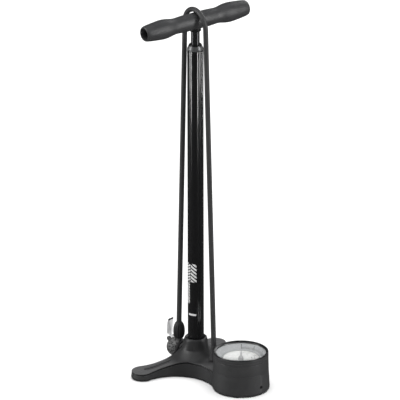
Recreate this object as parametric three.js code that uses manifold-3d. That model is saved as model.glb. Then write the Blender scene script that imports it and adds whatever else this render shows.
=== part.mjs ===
// Floor bike pump: tripod base with a sunk pressure gauge, long barrel, T handle,
// pressure hose laid over the handle, and a lever head parked behind the stem.
// Millimetres, +Z up. Work is done about the barrel axis, and the last group moves
// the whole pump so that its footprint is centred on the origin.
import * as THREE from 'three';
import { mergeVertices } from 'three/addons/utils/BufferGeometryUtils.js';
import Module from 'manifold-3d';

const wasm = await Module();
wasm.setup();

// ---------------------------------------------------------------- dimensions
const AXIS_Y = 49.5;            // barrel axis in the part's frame
const GAP = 0.3;                // clearance between touching pieces

const TUBE_R = 14.25;           // barrel outside
const TUBE_BORE_R = 12.75;
const TUBE_Z0 = 22;
const TUBE_Z1 = 605.7;
const CAP_TOP = 614;

const ROD_R = 7.7;
const ROD_BORE_R = 5.9;
const ROD_Z0 = 72.3;
const ROD_Z1 = 663.4;

const HANDLE_Z = 659;
const HANDLE_HALF = 110;
const HANDLE_YAW = -9.3;        // degrees about +Z
const HANDLE_BORE_R = 10.4;

const STEM_TOP = 64.6;
const LEG_REACH = 100;          // tip centre from the barrel axis
const LEG_TIP_R = 20;
const LEG_ANGLE = 25;           // right leg, degrees from +X; the left one mirrors it
const SKIRT_Z = 2.1;            // lower edge of the casting above the ground

const DRUM_Y = -110.8;          // gauge centre from the barrel axis
const DRUM_R = 50.5;
const CUP_R = 46.5;             // pocket in the casting for the gauge
const CUP_Z = 38;
const CASE_R = 46.2;
const CASE_BORE_R = 43.8;
const CASE_TOP = 58.3;
const DRUM_TOP = 69;
const LENS_OPEN_R = 43.8;

const BAY_FRONT = 39;           // nearest the front bays come to the axis
const BAY_REAR = 28.5;

const HOSE_R = 4.6;
const GLAND_Y = -44;
const GLAND_TOP = 60;
const ARCH_R = 30.6;
const ARCH_TOP = 679.3;
const HOSE_SPLIT_Z = 300;

const HEAD_Y = 41.5;            // hose axis at the pump head
const HEAD_Z = 31;              // valve axis height
const COLLAR_TOP = 80;
const PIVOT_Y = 61;
const PIVOT_Z = 44;

// ---------------------------------------------------------------- materials
const M = (color, roughness, metalness = 0, extra = {}) =>
  new THREE.MeshStandardMaterial({ color, roughness, metalness, ...extra });
const castingMat = M(0x2b2c2d, 0.55);
const barrelMat = M(0x07080a, 0.18, 0.3);
const capMat = M(0x8d9092, 0.4, 0.4);
const steelMat = M(0x54565a, 0.3, 0.9);
const gripMat = M(0x1d1e20, 0.5);
const rubberMat = M(0x141414, 0.85);
const hoseMat = M(0x2e2f31, 0.7);
const brassMat = M(0xb08d4a, 0.35, 0.9);
const alloyMat = M(0xc9cbce, 0.3, 0.9);
const dialMat = M(0xf2f2ef, 0.6);
const chapterMat = M(0xa9abac, 0.5);
const needleMat = M(0x1a1a1a, 0.5);
const lensMat = M(0xdfe6ea, 0.05, 0, { transparent: true, opacity: 0.25 });
const bezelMat = M(0x0c0d0e, 0.3);
const headMat = M(0x161718, 0.6);
const acetalMat = M(0xd9d8d2, 0.5);
const moveMat = M(0x9a9da0, 0.4, 0.8);

// ---------------------------------------------------------------- helpers
const rad = (d) => (d * Math.PI) / 180;

function cleaned(geometry) {
  let g = geometry.clone();
  for (const key of Object.keys(g.attributes)) if (key !== 'position') g.deleteAttribute(key);
  g = mergeVertices(g, 1e-4);
  const p = g.attributes.position;
  const index = g.index.array;
  const kept = [];
  for (let i = 0; i < index.length; i += 3) {
    const [a, b, c] = [index[i], index[i + 1], index[i + 2]];
    if (a !== b && b !== c && a !== c) kept.push(a, b, c);
  }
  let volume = 0;
  const v = [new THREE.Vector3(), new THREE.Vector3(), new THREE.Vector3()];
  for (let i = 0; i < kept.length; i += 3) {
    for (let k = 0; k < 3; k += 1) v[k].fromBufferAttribute(p, kept[i + k]);
    volume += v[0].dot(v[1].clone().cross(v[2]));
  }
  if (volume < 0) for (let i = 0; i < kept.length; i += 3) [kept[i + 1], kept[i + 2]] = [kept[i + 2], kept[i + 1]];
  g.setIndex(kept);
  return g;
}

function solidOf(geometry) {
  const g = cleaned(geometry);
  return new wasm.Manifold(new wasm.Mesh({
    numProp: 3,
    vertProperties: new Float32Array(g.attributes.position.array),
    triVerts: new Uint32Array(g.index.array),
  }));
}

function geometryOf(solid) {
  const mesh = solid.getMesh();
  const g = new THREE.BufferGeometry();
  const stride = mesh.numProp;
  const points = new Float32Array((mesh.vertProperties.length / stride) * 3);
  for (let i = 0; i < points.length / 3; i += 1) {
    for (let k = 0; k < 3; k += 1) points[3 * i + k] = mesh.vertProperties[stride * i + k];
  }
  g.setAttribute('position', new THREE.BufferAttribute(points, 3));
  g.setIndex(new THREE.BufferAttribute(new Uint32Array(mesh.triVerts), 1));
  g.computeVertexNormals();
  return g;
}

// Turned shape about +Z from [radius, height] pairs, closed onto the axis or onto itself.
function turned(profile, segments = 32) {
  const first = profile[0];
  const last = profile[profile.length - 1];
  const pts = profile.map(([r, z]) => new THREE.Vector2(r, z));
  if (first[0] !== 0 || last[0] !== 0) pts.push(new THREE.Vector2(first[0], first[1]));
  return new THREE.LatheGeometry(pts, segments).rotateX(Math.PI / 2);
}

const rod = (r, z0, z1, segments = 24) => turned([[0, z0], [r, z0], [r, z1], [0, z1]], segments);
const sleeve = (r0, r1, z0, z1, segments = 32) => turned([[r0, z0], [r1, z0], [r1, z1], [r0, z1]], segments);
const alongY = (g) => g.rotateX(-Math.PI / 2);   // a +Z turned shape laid along +Y
const alongX = (g) => g.rotateY(Math.PI / 2);

const block = (x0, x1, y0, y1, z0, z1) =>
  new THREE.BoxGeometry(x1 - x0, y1 - y0, z1 - z0).translate((x0 + x1) / 2, (y0 + y1) / 2, (z0 + z1) / 2);

function mesh(name, geometry, material, at = [0, 0, 0]) {
  const m = new THREE.Mesh(cleaned(geometry), material);
  m.name = name;
  m.position.set(...at);
  return m;
}

// A path through given points, one step for each, straight between them.
class Stations extends THREE.Curve {
  constructor(points) {
    super();
    this.points = points;
  }
  getPointAt(u, target = new THREE.Vector3()) {
    const n = this.points.length - 1;
    const i = Math.min(Math.floor(u * n + 1e-9), n - 1);
    return target.copy(this.points[i]).lerp(this.points[i + 1], u * n - i);
  }
  getPoint(u, target) {
    return this.getPointAt(u, target);
  }
  getTangentAt(u, target = new THREE.Vector3()) {
    const n = this.points.length - 1;
    const i = Math.min(Math.max(Math.round(u * n), 0), n);
    const before = this.points[Math.max(i - 1, 0)];
    const after = this.points[Math.min(i + 1, n)];
    return target.copy(after).sub(before).normalize();
  }
}

function tubeAlong(points, radius, sides) {
  const section = new THREE.Shape();
  for (let i = 0; i < sides; i += 1) {
    const a = (2 * Math.PI * i) / sides;
    if (i === 0) section.moveTo(radius, 0);
    else section.lineTo(radius * Math.cos(a), radius * Math.sin(a));
  }
  section.closePath();
  const path = new Stations(points.map((p) => new THREE.Vector3(...p)));
  return new THREE.ExtrudeGeometry(section, { steps: points.length - 1, extrudePath: path, bevelEnabled: false });
}

// ---------------------------------------------------------------- tripod casting
// The plan outline is made of arcs: a round tip on each leg, the gauge drum, and
// a hollow bay between neighbours that touches both of them.
const TIPS = [LEG_ANGLE, 180 - LEG_ANGLE].map((a) => [LEG_REACH * Math.cos(rad(a)), LEG_REACH * Math.sin(rad(a))]);
const DRUM = [0, DRUM_Y];
const LOBE_R = DRUM_R - 1.3;    // the plan outline stays inside the drum wall

// circle outside three others: the axis (radius a), and two lobes (p, rp) and (q, rq)
function bay(a, p, rp, q, rq) {
  const row = ([x, y], r) => [2 * x, 2 * y, 2 * (r - a), x * x + y * y + a * a - r * r];
  // |C|=rho+a and |C-P|=rho+rp give 2Px Cx + 2Py Cy + 2(rp-a) rho = |P|^2 + a^2 - rp^2
  const [a1, b1, c1, d1] = row(p, rp);
  const [a2, b2, c2, d2] = row(q, rq);
  const det = a1 * b2 - a2 * b1;
  const at = (rho) => [
    ((d1 - c1 * rho) * b2 - (d2 - c2 * rho) * b1) / det,
    (a1 * (d2 - c2 * rho) - a2 * (d1 - c1 * rho)) / det,
  ];
  const off = (rho) => Math.hypot(...at(rho)) - rho - a;
  let lo = 5;
  let best = null;
  for (let rho = 6; rho < 1500; rho += 1) {
    if (Math.sign(off(lo)) !== Math.sign(off(rho))) {
      let l = lo;
      let h = rho;
      for (let k = 0; k < 60; k += 1) {
        const m = (l + h) / 2;
        if (Math.sign(off(l)) === Math.sign(off(m))) l = m;
        else h = m;
      }
      best = [...at(l), l];
      break;
    }
    lo = rho;
  }
  return best;
}
const TIP_L = TIPS[1];
const TIP_R = TIPS[0];
const REAR_RHO = (() => {
  const [x, y] = TIP_R;
  const d = (x * x + y * y - (LEG_TIP_R - BAY_REAR) ** 2) / (2 * y + 2 * (LEG_TIP_R - BAY_REAR));
  return d - BAY_REAR;
})();
const BAYS = [
  bay(BAY_FRONT, TIP_L, LEG_TIP_R, DRUM, LOBE_R),
  bay(BAY_FRONT, TIP_R, LEG_TIP_R, DRUM, LOBE_R),
  [0, REAR_RHO + BAY_REAR, REAR_RHO],
];

// Closed plan outline, counterclockwise from the drum: lobe, bay, lobe, bay, ...
const AROUND = [
  { at: DRUM, r: LOBE_R, steps: 22 }, { at: BAYS[1], r: BAYS[1][2], steps: 12 },
  { at: TIP_R, r: LEG_TIP_R, steps: 9 }, { at: BAYS[2], r: BAYS[2][2], steps: 10 },
  { at: TIP_L, r: LEG_TIP_R, steps: 9 }, { at: BAYS[0], r: BAYS[0][2], steps: 12 },
];
function planOutline() {
  const pts = [];
  AROUND.forEach((piece, k) => {
    const before = AROUND[(k + 5) % 6];
    const after = AROUND[(k + 1) % 6];
    const lobe = k % 2 === 0;
    const from = Math.atan2(before.at[1] - piece.at[1], before.at[0] - piece.at[0]);
    let to = Math.atan2(after.at[1] - piece.at[1], after.at[0] - piece.at[0]);
    if (lobe) while (to < from) to += 2 * Math.PI;
    else while (to > from) to -= 2 * Math.PI;
    for (let i = 0; i < piece.steps; i += 1) {
      const a = from + ((to - from) * i) / piece.steps;
      pts.push([piece.at[0] + piece.r * Math.cos(a), piece.at[1] + piece.r * Math.sin(a)]);
    }
  });
  return pts;
}

const ease = (t) => {
  const u = Math.min(1, Math.max(0, t));
  return u * u * (3 - 2 * u);
};
function sampled(table, x) {
  if (x <= table[0][0]) return table[0][1];
  for (let i = 1; i < table.length; i += 1) {
    if (x <= table[i][0]) {
      const t = (x - table[i - 1][0]) / (table[i][0] - table[i - 1][0]);
      return table[i - 1][1] + (table[i][1] - table[i - 1][1]) * ease(t) * 0.4
        + (table[i][1] - table[i - 1][1]) * t * 0.6;
    }
  }
  return table[table.length - 1][1];
}
const LEG_TOP = [[23, 44], [27, 39.6], [31, 35.6], [35, 32], [39, 29.4], [46, 26.6], [52, 24.2], [66, 20.4], [82, 16.9], [98, 14.8], [125, 14]];
const NECK_TOP = [[23, 44], [27, 39.8], [31, 36.2], [35, 33.2], [39, 31.2], [50, 30], [62, 29.5], [200, 29.5]];

function frontness(theta) {
  // 1 towards the gauge, 0 towards the legs
  const off = Math.abs(Math.atan2(Math.sin(theta + Math.PI / 2), Math.cos(theta + Math.PI / 2)));
  return 1 - ease((off - rad(38)) / rad(20));
}
function topHeight(r, theta) {
  const f = frontness(theta);
  return f * sampled(NECK_TOP, r) + (1 - f) * sampled(LEG_TOP, r);
}

const BELL = [[15.2, STEM_TOP], [17.8, 64.5], [19.1, 63.9], [20, 62.4], [20.7, 60], [21.3, 55], [22.2, 49], [23.5, 44]];

function castingSurface() {
  const plan = planOutline().map(([x, y]) => [x, y, Math.atan2(y, x), Math.hypot(x, y)]);
  const count = plan.length;
  const normals = plan.map((_, i) => {
    const a = plan[(i + count - 1) % count];
    const b = plan[(i + 1) % count];
    const n = [b[1] - a[1], a[0] - b[0]];
    const l = Math.hypot(...n);
    return [n[0] / l, n[1] / l];
  });
  const rings = [];
  for (const [r, z] of BELL) {
    rings.push(plan.map(([, , theta, R]) => {
      const depth = (STEM_TOP - z) / 34;
      const lobed = r * (1 + 0.17 * depth ** 1.3 * Math.cos(3 * (theta + Math.PI / 2)));
      const rr = Math.min(lobed, R - 1.5 - 0.4 * (STEM_TOP - z) / 34);
      return [rr * Math.cos(theta), rr * Math.sin(theta), z];
    }));
  }
  const foot = rings[rings.length - 1];
  const inset = (i, d) => [plan[i][0] - normals[i][0] * d, plan[i][1] - normals[i][1] * d];
  for (const t of [0.25, 0.55, 0.85]) {
    rings.push(plan.map(([, , theta], i) => {
      const [ox, oy] = inset(i, 2.8);
      const x = foot[i][0] + (ox - foot[i][0]) * t;
      const y = foot[i][1] + (oy - foot[i][1]) * t;
      return [x, y, Math.min(topHeight(Math.hypot(x, y), theta), foot[i][2] - 0.6 * t)];
    }));
  }
  rings.push(plan.map(([, , theta], i) => {
    const [x, y] = inset(i, 2.6);
    return [x, y, topHeight(Math.hypot(x, y), theta) - 0.1];
  }));
  rings.push(plan.map(([, , theta], i) => {
    const [x, y] = inset(i, 1.6);
    return [x, y, topHeight(Math.hypot(x, y), theta) - 1.0];
  }));
  rings.push(plan.map(([, , ], i) => {
    const [x, y] = inset(i, 0);
    return [x, y, SKIRT_Z + 1.6];
  }));
  rings.push(plan.map(([, , ], i) => {
    const [x, y] = inset(i, 1.4);
    return [x, y, SKIRT_Z];
  }));
  rings.push(plan.map(([, , ], i) => {
    const [x, y] = inset(i, 4.5);
    return [x, y, SKIRT_Z];
  }));
  const points = [];
  for (const ring of rings) for (const p of ring) points.push(...p);
  const top = points.length / 3;
  points.push(0, 0, STEM_TOP);
  const bottom = top + 1;
  points.push(0, 0, SKIRT_Z);
  const index = [];
  for (let i = 0; i < count; i += 1) {
    const j = (i + 1) % count;
    index.push(top, i, j);
    for (let k = 0; k + 1 < rings.length; k += 1) {
      const [a, b] = [k * count + i, k * count + j];
      const [c, d] = [a + count, b + count];
      index.push(a, c, b, b, c, d);
    }
    const last = (rings.length - 1) * count;
    index.push(bottom, last + j, last + i);
  }
  const g = new THREE.BufferGeometry();
  g.setAttribute('position', new THREE.BufferAttribute(new Float32Array(points), 3));
  g.setIndex(index);
  return g;
}

const FEET = {
  foot_left: [TIP_L[0], TIP_L[1], 13],
  foot_right: [TIP_R[0], TIP_R[1], 13],
  foot_front_left: [-34.3, DRUM_Y - 24.3, 8.5],
  foot_front_right: [34.3, DRUM_Y - 24.3, 8.5],
};

let casting = solidOf(castingSurface());
casting = casting.add(solidOf(turned([
  [0, SKIRT_Z + 0.1], [DRUM_R - 1.1, SKIRT_Z + 0.1], [DRUM_R, SKIRT_Z + 1.5], [48.9, CUP_Z - 0.4], [48.4, CUP_Z - 0.1], [0, CUP_Z - 0.1]], 56).translate(0, DRUM_Y, 0)));
casting = casting.add(solidOf(alongY(rod(8.4, 18, 29.3, 20)).translate(0, 0, HEAD_Z)));
casting = casting.add(solidOf(alongY(rod(3.4, 24, 32.2, 16)).translate(0, 0, HEAD_Z)));
casting = casting
  .subtract(solidOf(rod(TUBE_R + GAP, TUBE_Z0 - GAP, STEM_TOP + 5, 40)))
  .subtract(solidOf(rod(CUP_R + 0.15, 5, 90, 40).translate(0, DRUM_Y, 0)))
  .subtract(solidOf(rod(3, 12, TUBE_Z0 + 1, 10)))
  .subtract(solidOf(alongY(rod(2.6, DRUM_Y + CASE_R - 4, 0.5, 10)).translate(0, 0, 13.5)))
  .subtract(solidOf(rod(5.3, 12, 60, 16).translate(0, GLAND_Y, 0)))
  .subtract(solidOf(rod(8.2, 30.6, 60, 24).translate(0, GLAND_Y, 0)))
  .subtract(solidOf(alongY(rod(3.1, DRUM_Y - DRUM_R - 3, DRUM_Y - CUP_R + 3, 14)).translate(0, 0, 14.2)));

// ---------------------------------------------------------------- base body
const base = new THREE.Group();
base.add(mesh('base_casting', geometryOf(casting), castingMat));
for (const [name, [x, y, r]] of Object.entries(FEET)) {
  base.add(mesh(name, turned([[0, 0], [r - 0.8, 0], [r, 0.8], [r, 1.8], [0, 1.8]], 24), rubberMat, [x, y, 0]));
}
base.add(mesh('barrel_tube', sleeve(TUBE_BORE_R, TUBE_R, TUBE_Z0, TUBE_Z1, 40), barrelMat));
base.add(mesh('barrel_top_cap', turned([
  [10.4, 588], [12.4, 588], [12.4, TUBE_Z1 + GAP], [TUBE_R, TUBE_Z1 + GAP], [TUBE_R, 608.4], [13.6, 609.6],
  [11.9, CAP_TOP], [10.4, CAP_TOP]], 28), capMat));
base.add(mesh('rod_bushing', turned([
  [7.85, 590], [10.1, 590], [10.1, CAP_TOP + GAP], [11.3, CAP_TOP + GAP], [10.9, CAP_TOP + 1.6], [7.85, CAP_TOP + 1.6]], 28), bezelMat));
base.add(mesh('barrel_foot_plug', turned([
  [4.2, 22.2], [12.3, 22.2], [12.3, 34], [11.2, 34.4], [11.2, 36.4], [12.3, 36.8], [12.3, 43.5], [2, 43.5], [2, 40], [4.2, 37.6]], 20), brassMat));
base.add(mesh('plug_seal_ring', turned([[11.5, 34.8], [12.4, 34.8], [12.4, 36], [11.5, 36]], 28), rubberMat));

const coil = [];
for (let i = 0; i <= 36; i += 1) {
  const a = (2 * Math.PI * i) / 9;
  coil.push([2.9 * Math.cos(a), 2.9 * Math.sin(a), 23 + (9.6 * i) / 36]);
}
base.add(mesh('check_valve_spring', tubeAlong(coil, 0.45, 5), moveMat));

base.add(mesh('hose_gland_nut', turned([[3.2, 26.5], [5.0, 26.5], [5.0, 31], [7.6, 31], [7.6, 35.2], [7, 37], [5.4, GLAND_TOP - 1.2], [4.9, GLAND_TOP], [3.2, GLAND_TOP]], 18),
  bezelMat, [0, GLAND_Y, 0]));
base.add(mesh('hose_gland_barb', turned([[1.3, 14.5], [4.9, 14.5], [4.9, 26.1], [2.9, 26.1], [2.9, 59], [1.3, 59]], 16),
  brassMat, [0, GLAND_Y, 0]));

// gauge, sunk in the casting's cup
let gaugeCase = solidOf(turned([
  [0, 5.4], [CASE_R, 5.4], [CASE_R, CUP_Z + 0.2], [48.6, CUP_Z + 0.4], [48.9, CUP_Z + 0.9], [48.7, CASE_TOP], [CASE_BORE_R, CASE_TOP], [CASE_BORE_R, 8.4], [0, 8.4]], 40));
gaugeCase = gaugeCase.subtract(solidOf(alongY(rod(3.4, CASE_R - 8, CASE_R + 8, 12)).translate(0, 0, 13.5)));
base.add(mesh('gauge_case', geometryOf(gaugeCase), castingMat, [0, DRUM_Y, 0]));
base.add(mesh('gauge_lock_screw', alongY(turned([[0, 0], [2.7, 0], [2.7, 2.5], [0, 2.5]], 14)), steelMat, [0, DRUM_Y - CUP_R - 2.7, 14.2]));
base.add(mesh('gauge_bezel', turned([
  [44.9, CASE_TOP + GAP], [48.7, CASE_TOP + GAP], [48.7, 62.1], [48.2, 62.4], [48.7, 62.7], [48.5, DRUM_TOP - 0.6], [48, DRUM_TOP],
  [LENS_OPEN_R, DRUM_TOP - 1.3], [LENS_OPEN_R, 65.9], [44.9, 65.9]], 40), bezelMat, [0, DRUM_Y, 0]));
base.add(mesh('gauge_lens', turned([[0, 63.4], [44.6, 63.4], [44.6, 65.6], [0, 65.6]], 40), lensMat, [0, DRUM_Y, 0]));
base.add(mesh('gauge_chapter_ring', turned([
  [34.6, 52.4], [43.4, 52.4], [43.4, CASE_TOP], [44.6, CASE_TOP + GAP], [44.6, 63.1], [43.2, 63.1], [35, 53.2], [34.6, 53.2]], 40), chapterMat, [0, DRUM_Y, 0]));
let dial = solidOf(turned([[2.6, 50.6], [43.2, 50.6], [43.2, 52.1], [2.6, 52.1]], 40));
base.add(mesh('gauge_dial', geometryOf(dial), dialMat, [0, DRUM_Y, 0]));
let movement = solidOf(block(-18, 18, -14, 14, 38, 50.2)).subtract(solidOf(rod(1.8, 43, 60, 12)))
  .subtract(solidOf(block(-13, 13, -9, 9, 40, 47).translate(0, 7, 0)));
base.add(mesh('gauge_movement', geometryOf(movement), moveMat, [0, DRUM_Y, 0]));
const bourdon = [];
for (let i = 0; i <= 26; i += 1) {
  const a = rad(70 - (250 * i) / 26);
  bourdon.push([30 * Math.cos(a), 30 * Math.sin(a), 30]);
}
base.add(mesh('bourdon_tube', tubeAlong(bourdon, 3, 8), brassMat, [0, DRUM_Y, 0]));
let inlet = solidOf(block(-5, 5, 25, 34, 9, 26.6)).add(solidOf(alongY(rod(3, 30, 45.8, 12)).translate(0, 0, 13.5)))
  .subtract(solidOf(alongY(rod(1.4, 28, 50, 8)).translate(0, 0, 13.5)));
base.add(mesh('gauge_inlet_block', geometryOf(inlet), brassMat, [0, DRUM_Y, 0]));

// ---------------------------------------------------------------- sliding piston
const piston = new THREE.Group();
piston.add(mesh('piston_rod', sleeve(ROD_BORE_R, ROD_R, ROD_Z0, ROD_Z1, 32), steelMat));
piston.add(mesh('piston_head', turned([
  [0, 47], [3.4, 47], [3.4, 64.6], [12.2, 64.6], [12.2, 72], [5.6, 72], [5.6, 88], [0, 88]], 28), acetalMat));
piston.add(mesh('piston_cup_seal', turned([
  [3.7, 59], [8, 59], [11.4, 55.2], [12.45, 55.2], [12.45, 62.5], [11.2, 64.3], [3.7, 64.3]], 28), rubberMat));
piston.add(mesh('piston_washer', sleeve(3.7, 7.6, 57, 58.7, 24), moveMat));
piston.add(mesh('piston_nut', turned([[4.3, 50], [7, 50], [7, 56.7], [4.3, 56.7]], 6), steelMat));

// ---------------------------------------------------------------- handle
const handle = new THREE.Group();
const HANDLE_PROFILE = [
  [0, 15], [25, 15], [43, 14], [50, 14.5], [59, 16.4], [68, 17.4], [80, 16.9], [93, 15.8], [102, 14.7],
  [107, 13.7], [109.4, 12.6], [110, 11.6]];
const side = HANDLE_PROFILE.map(([x, r]) => [r, x]);
const gripProfile = [
  [0, -HANDLE_HALF + 34], [HANDLE_BORE_R, -HANDLE_HALF + 34], [HANDLE_BORE_R, -HANDLE_HALF],
  ...side.slice(1).reverse().map(([r, x]) => [r, -x]), ...side.slice(1),
  [HANDLE_BORE_R, HANDLE_HALF], [HANDLE_BORE_R, HANDLE_HALF - 34], [0, HANDLE_HALF - 34]];
let grip = solidOf(alongX(turned(gripProfile, 20)));
grip = grip.subtract(solidOf(rod(10.4, -30, 5.4, 24)));
const grips = new THREE.Group();
grips.add(mesh('handle_grip', geometryOf(grip), gripMat));
grips.position.set(0, 0, HANDLE_Z);
grips.rotation.z = rad(HANDLE_YAW);
handle.add(grips);
handle.add(mesh('handle_ferrule', turned([
  [8, 640.6], [9.6, 640.6], [10.1, 642], [10.1, 663.9], [8, 663.9]], 24), bezelMat));

// ---------------------------------------------------------------- gauge pointer
const pointer = new THREE.Group();
const needlePlan = new THREE.Shape();
needlePlan.moveTo(-11, -1.9);
needlePlan.lineTo(-5, -2.3);
needlePlan.lineTo(2, -2.4);
needlePlan.lineTo(31, -0.55);
needlePlan.lineTo(32.5, 0);
needlePlan.lineTo(31, 0.55);
needlePlan.lineTo(2, 2.4);
needlePlan.lineTo(-5, 2.3);
needlePlan.lineTo(-11, 1.9);
needlePlan.closePath();
let needle = solidOf(new THREE.ExtrudeGeometry(needlePlan, { depth: 0.8, bevelEnabled: false }))
  .subtract(solidOf(rod(1.6, -2, 3, 12)));
const needleMesh = mesh('gauge_needle', geometryOf(needle), needleMat, [0, 0, 54.4]);
needleMesh.rotation.z = Math.atan2(0.685, 0.73);
pointer.add(needleMesh);
pointer.add(mesh('needle_hub', turned([[0, 44.2], [1.3, 44.2], [1.3, 55.5], [4.4, 55.5], [4.4, 57], [3.4, 58], [0, 58]], 16), needleMat));
pointer.position.set(0, DRUM_Y, 0);

// ---------------------------------------------------------------- pump head
const head = new THREE.Group();
let headBody = solidOf(alongY(turned([
  [0, 30], [10.8, 30], [12, 31.2], [12, 36.3], [15.4, 36.3], [16.5, 38.4], [17.3, 42], [17.5, 46], [17.3, 50.4], [16.4, 54.4],
  [14.7, 57.8], [12.4, 60.4], [9.8, 61.8], [0, 62]], 32)).translate(0, 0, HEAD_Z))
  .add(solidOf(rod(4.9, HEAD_Z, 50.2, 20).translate(0, HEAD_Y, 0)))
  .add(solidOf(alongX(rod(4.2, -7.2, 7.2, 20)).translate(0, PIVOT_Y, PIVOT_Z)))
  .subtract(solidOf(alongY(rod(9, 20, 46, 24)).translate(0, 0, HEAD_Z)))
  .subtract(solidOf(alongY(rod(5, 40, 61, 18)).translate(0, 0, HEAD_Z)))
  .subtract(solidOf(block(-3.7, 3.7, 56.6, 70, 36.6, 60)))
  .subtract(solidOf(alongX(rod(1.8, -20, 20, 14)).translate(0, PIVOT_Y, PIVOT_Z)))
  .subtract(solidOf(rod(2, HEAD_Z, 60, 10).translate(0, HEAD_Y, 0)));
head.add(mesh('head_body', geometryOf(headBody), headMat));
const knurl = new THREE.Shape();
for (let i = 0; i < 48; i += 1) {
  const a = (2 * Math.PI * i) / 48;
  const r = i % 2 ? 16.4 : 15.7;
  if (i === 0) knurl.moveTo(r * Math.cos(a), r * Math.sin(a));
  else knurl.lineTo(r * Math.cos(a), r * Math.sin(a));
}
knurl.closePath();
const headRing = solidOf(new THREE.ExtrudeGeometry(knurl, { depth: 4.8, bevelEnabled: false }))
  .intersect(solidOf(turned([[0, 0], [14.2, 0], [15.4, 1], [16.2, 2.6], [16.5, 4.8], [0, 4.8]], 48)))
  .subtract(solidOf(rod(12.3, -1, 6, 32)));
head.add(mesh('head_ring', alongY(geometryOf(headRing)), headMat, [0, 31.2, HEAD_Z]));
head.add(mesh('valve_grommet', alongY(turned([[4, 31], [8.7, 31], [8.7, 45.7], [4, 45.7]], 24)), rubberMat, [0, 0, HEAD_Z]));
head.add(mesh('lever_pin', alongX(rod(1.5, -7.4, 7.4, 14)), steelMat, [0, PIVOT_Y, PIVOT_Z]));
head.add(mesh('hose_collar', turned([
  [3.2, 50.6], [7.4, 50.6], [8.8, 53.6], [10.1, 58], [10.4, 63], [10.1, 68], [9, 74], [7, 78.6], [5.6, COLLAR_TOP], [3.2, COLLAR_TOP]], 20),
  rubberMat, [0, HEAD_Y, 0]));
head.add(mesh('hose_barb', turned([[1.3, 50.8], [2.9, 50.8], [2.9, 79], [1.3, 79]], 14), brassMat, [0, HEAD_Y, 0]));

const plunger = new THREE.Group();
plunger.add(mesh('head_plunger', alongY(turned([[1.6, 48.4], [4.7, 48.4], [4.7, 56.3], [1.6, 56.3]], 18)), acetalMat, [0, 0, HEAD_Z]));

const lever = new THREE.Group();
const bent = new THREE.Shape();
bent.moveTo(-3.2, -1);
bent.lineTo(3.6, -1);
bent.lineTo(4.6, 8);
bent.lineTo(3.9, 22);
bent.lineTo(2.8, 33.5);
bent.lineTo(0.6, 37.6);
bent.lineTo(-0.9, 36.6);
bent.lineTo(0.9, 32.6);
bent.lineTo(1.9, 22);
bent.lineTo(2.4, 9.6);
bent.lineTo(-2, 3.4);
bent.closePath();
// drawn as (y, z), extruded along x
const leverSide = (half) => {
  const g = new THREE.ExtrudeGeometry(bent, { depth: 2 * half, bevelEnabled: false });
  const m = new THREE.Matrix4().set(0, 0, 1, -half, 1, 0, 0, 0, 0, 1, 0, 0, 0, 0, 0, 1);
  return g.applyMatrix4(m);
};
let leverSolid = solidOf(leverSide(7.25)).intersect(solidOf(block(-20, 20, -20, 20, 6.6, 60)))
  .add(solidOf(leverSide(3.3)))
  .add(solidOf(alongX(rod(3.9, -3.3, 3.3, 20))))
  .subtract(solidOf(alongX(rod(1.8, -20, 20, 14))));
lever.add(mesh('head_lever', geometryOf(leverSolid), alloyMat, [0, PIVOT_Y, PIVOT_Z]));

// ---------------------------------------------------------------- check valve ball
const ball = new THREE.Group();
ball.add(mesh('check_valve_ball', new THREE.SphereGeometry(3, 16, 10), moveMat, [0, 0, 36.2]));

// ---------------------------------------------------------------- hose
const yaw = rad(HANDLE_YAW);
const across = [-Math.sin(yaw) * -1, -Math.cos(yaw)];   // towards the gauge, square to the handle
const ARCH_Z = ARCH_TOP - ARCH_R;
const frontTop = [ARCH_R * Math.sin(yaw), -ARCH_R * Math.cos(yaw), ARCH_Z];
const rearTop = [-frontTop[0], -frontTop[1], ARCH_Z];
const lerp = (a, b, t) => a.map((v, k) => v + (b[k] - v) * t);
const frontFoot = [0, GLAND_Y, GLAND_TOP + GAP];
const rearFoot = [0, HEAD_Y, COLLAR_TOP + GAP];
const upper = [];
for (let i = 0; i < 26; i += 1) upper.push(lerp(frontFoot, frontTop, i / 26));
for (let i = 0; i <= 14; i += 1) {
  const a = (Math.PI * i) / 14;
  upper.push([frontTop[0] * Math.cos(a), frontTop[1] * Math.cos(a), ARCH_Z + ARCH_R * Math.sin(a)]);
}
const splitT = (HOSE_SPLIT_Z - ARCH_Z) / (rearFoot[2] - ARCH_Z);
for (let i = 1; i <= 15; i += 1) upper.push(lerp(rearTop, rearFoot, (splitT * i) / 15));
const lower = [];
const splitLow = (HOSE_SPLIT_Z - GAP - ARCH_Z) / (rearFoot[2] - ARCH_Z);
for (let i = 0; i <= 10; i += 1) lower.push(lerp(rearTop, rearFoot, splitLow + ((1 - splitLow) * i) / 10));
const hose = new THREE.Group();
hose.add(mesh('hose_upper', tubeAlong(upper, HOSE_R, 8), hoseMat));
hose.add(mesh('hose_lower', tubeAlong(lower, HOSE_R, 8), hoseMat));

// ---------------------------------------------------------------- assembly
head.add(plunger, lever);
piston.add(handle);
const pump = new THREE.Group();
pump.add(base, piston, pointer, head, ball, hose);
pump.position.y = AXIS_Y;

export default pump;
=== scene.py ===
import bpy
import bmesh
import math
import random
from mathutils import Matrix, Quaternion, Vector


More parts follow.
